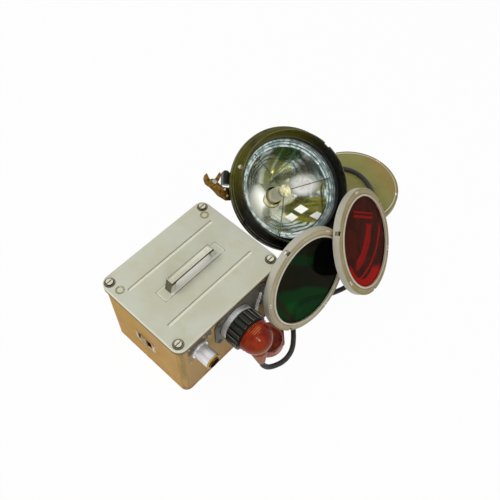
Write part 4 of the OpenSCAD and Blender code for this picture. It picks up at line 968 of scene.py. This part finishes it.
# Lead: the route's points in the battery box's frame, in millimetres
LEAD_ROUTE = [
    (3, -140.5, 32), (6, -143.5, 22), (13, -147, 12), (25, -151.5, 6), (39, -155, 4.3),
    (53, -154.5, 4.3), (66, -150, 4.3), (78, -142, 4.3), (89, -132.5, 4.3), (100, -122, 4.3),
    (113, -112, 4.3), (130, -107, 4.3), (147, -110, 4.3), (163, -119, 4.3), (180, -129.5, 4.3),
    (198, -138.5, 4.3), (217, -144, 4.3), (238, -144, 4.3), (260, -138, 4.3), (282, -129, 4.3),
    (304, -119.5, 5.2), (325, -110.5, 10.5), (345, -101.5, 15.8), (364, -91, 17), (383, -77, 17),
    (400, -59, 17), (413, -37, 17), (419, -13, 17), (415, 10, 17), (403, 29, 17), (385, 43, 17),
    (364, 52, 17.3), (342, 58, 20), (320, 61, 25), (301, 63.5, 31), (284, 66, 33.4),
]
LEAD_DIAMETER = 8.5
TAIL_TILT = 12.0
TAIL_LENGTH = 63.4
DOME_MIDDLE = 45.05
GRIP_RADIUS = 19.0
GLAND_FLANGE = 2.0
GLAND_LENGTH = 20.0
GLAND_DEPTH = 170.0


def lead_path():
    """Points from the plug tail's tip to the lamp gland's tip."""
    tilt = math.radians(TAIL_TILT)
    tail_tip = box_at(
        OUTLET[0],
        CASE_FRONT - DOME_MIDDLE - TAIL_LENGTH * math.sin(tilt),
        OUTLET[1] - TAIL_LENGTH * math.cos(tilt),
    )
    gland_tip = LAMP @ (Vector((0, GRIP_RADIUS + GLAND_FLANGE + GLAND_LENGTH, -GLAND_DEPTH)) * MM)
    return [tail_tip] + [box_at(*point) for point in LEAD_ROUTE] + [gland_tip]


def make_lead(material):
    path = lead_path()
    curve = bpy.data.curves.new("lead_cable", "CURVE")
    curve.dimensions = "3D"
    curve.bevel_depth = LEAD_DIAMETER / 2 * MM
    curve.bevel_resolution = 6
    curve.resolution_u = 8
    curve.use_fill_caps = True
    spline = curve.splines.new("BEZIER")
    spline.bezier_points.add(len(path) - 1)
    for bezier, point in zip(spline.bezier_points, path):
        bezier.co = point
        bezier.handle_left_type = "AUTO"
        bezier.handle_right_type = "AUTO"
    curve.materials.append(material)
    piece = bpy.data.objects.new("lead_cable", curve)
    bpy.context.collection.objects.link(piece)
    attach(piece, "set")
    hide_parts("lead")


# Light and floor

WORLD_LIGHT = 0.43
WORLD_COLOUR = (1.0, 0.98, 0.94, 1)
FLOOR_LIFT = 0.97
FLOOR_COLOUR = (0.8, 0.8, 0.8, 1)
FLOOR_HALF = 3.0


def area_light(name, place, target, size, power, glossy=False):
    data = bpy.data.lights.new(name, "AREA")
    data.size = size
    data.energy = power
    lamp = bpy.data.objects.new(name, data)
    bpy.context.collection.objects.link(lamp)
    direction = Vector(target) - Vector(place)
    turn = direction.to_track_quat("-Z", "Y").to_matrix().to_4x4()
    lamp.matrix_world = Matrix.Translation(place) @ turn
    lamp.visible_glossy = glossy
    return lamp


def seen_directly(tree):
    """1 for rays that show the background: from the camera, off gloss, or through glass."""
    path = tree.nodes.new("ShaderNodeLightPath")
    shown = path.outputs["Is Camera Ray"]
    for kind in ("Is Glossy Ray", "Is Transmission Ray"):
        either = tree.nodes.new("ShaderNodeMath")
        either.operation = "MAXIMUM"
        tree.links.new(shown, either.inputs[0])
        tree.links.new(path.outputs[kind], either.inputs[1])
        shown = either.outputs[0]
    return shown


def blend_shaders(tree, amount, first, second, target):
    mix = tree.nodes.new("ShaderNodeMixShader")
    tree.links.new(amount, mix.inputs[0])
    tree.links.new(first.outputs[0], mix.inputs[1])
    tree.links.new(second.outputs[0], mix.inputs[2])
    tree.links.new(mix.outputs[0], target.inputs["Surface"])


def make_world():
    """Soft warm light on the set, and plain white where the background shows."""
    world = bpy.data.worlds.new("studio")
    bpy.context.scene.world = world
    world.use_nodes = True
    tree = world.node_tree
    light = tree.nodes["Background"]
    light.inputs["Color"].default_value = WORLD_COLOUR
    light.inputs["Strength"].default_value = WORLD_LIGHT
    shown = tree.nodes.new("ShaderNodeBackground")
    shown.inputs["Color"].default_value = (1, 1, 1, 1)
    shown.inputs["Strength"].default_value = 1.0
    blend_shaders(tree, seen_directly(tree), light, shown, tree.nodes["World Output"])


def make_floor():
    """Matt floor, lifted nearly to white where it shows, so that only a faint shadow is left."""
    mesh = bpy.data.meshes.new("floor")
    corners = [(x * FLOOR_HALF, y * FLOOR_HALF, 0) for x, y in ((-1, -1), (1, -1), (1, 1), (-1, 1))]
    mesh.from_pydata(corners, [], [(0, 1, 2, 3)])
    floor = bpy.data.objects.new("floor", mesh)
    bpy.context.collection.objects.link(floor)
    material = bpy.data.materials.new("floor")
    material.use_nodes = True
    tree = material.node_tree
    shader = tree.nodes["Principled BSDF"]
    shader.inputs["Base Color"].default_value = FLOOR_COLOUR
    shader.inputs["Roughness"].default_value = 1.0
    shader.inputs["Specular IOR Level"].default_value = 0.0
    glow = tree.nodes.new("ShaderNodeEmission")
    glow.inputs["Strength"].default_value = 1.0
    lift = tree.nodes.new("ShaderNodeMath")
    lift.operation = "MULTIPLY"
    tree.links.new(seen_directly(tree), lift.inputs[0])
    lift.inputs[1].default_value = FLOOR_LIFT
    blend_shaders(tree, lift.outputs[0], shader, glow, tree.nodes["Material Output"])
    mesh.materials.append(material)


def make_lights():
    """Soft light from the back and front left, a narrow one into the bowl, and a small flash."""
    middle = Vector((0, 0, 0.1))
    area_light("sky", (-0.6, 0.8, 1.6), middle, size=0.9, power=9.5)
    area_light("front", (-1.1, -1.1, 0.7), middle, size=1.2, power=5.5)
    bowl = area_light("bowl", LAMP @ Vector((0, 0, 0.55)), LIP_MIDDLE, size=0.06, power=0.045)
    bowl.data.spread = math.radians(12)
    flash = area_light("flash", (-0.45, -0.7, 1.1), middle, size=0.06, power=1.5, glossy=True)
    flash.visible_diffuse = False


make_camera()
materials = make_materials()
dress_nodes(materials)
make_lead(materials["rubber"])
make_reflector(materials["mirror"], materials["steps"])
make_world()
make_floor()
make_lights()

bpy.context.scene.view_settings.view_transform = "Standard"
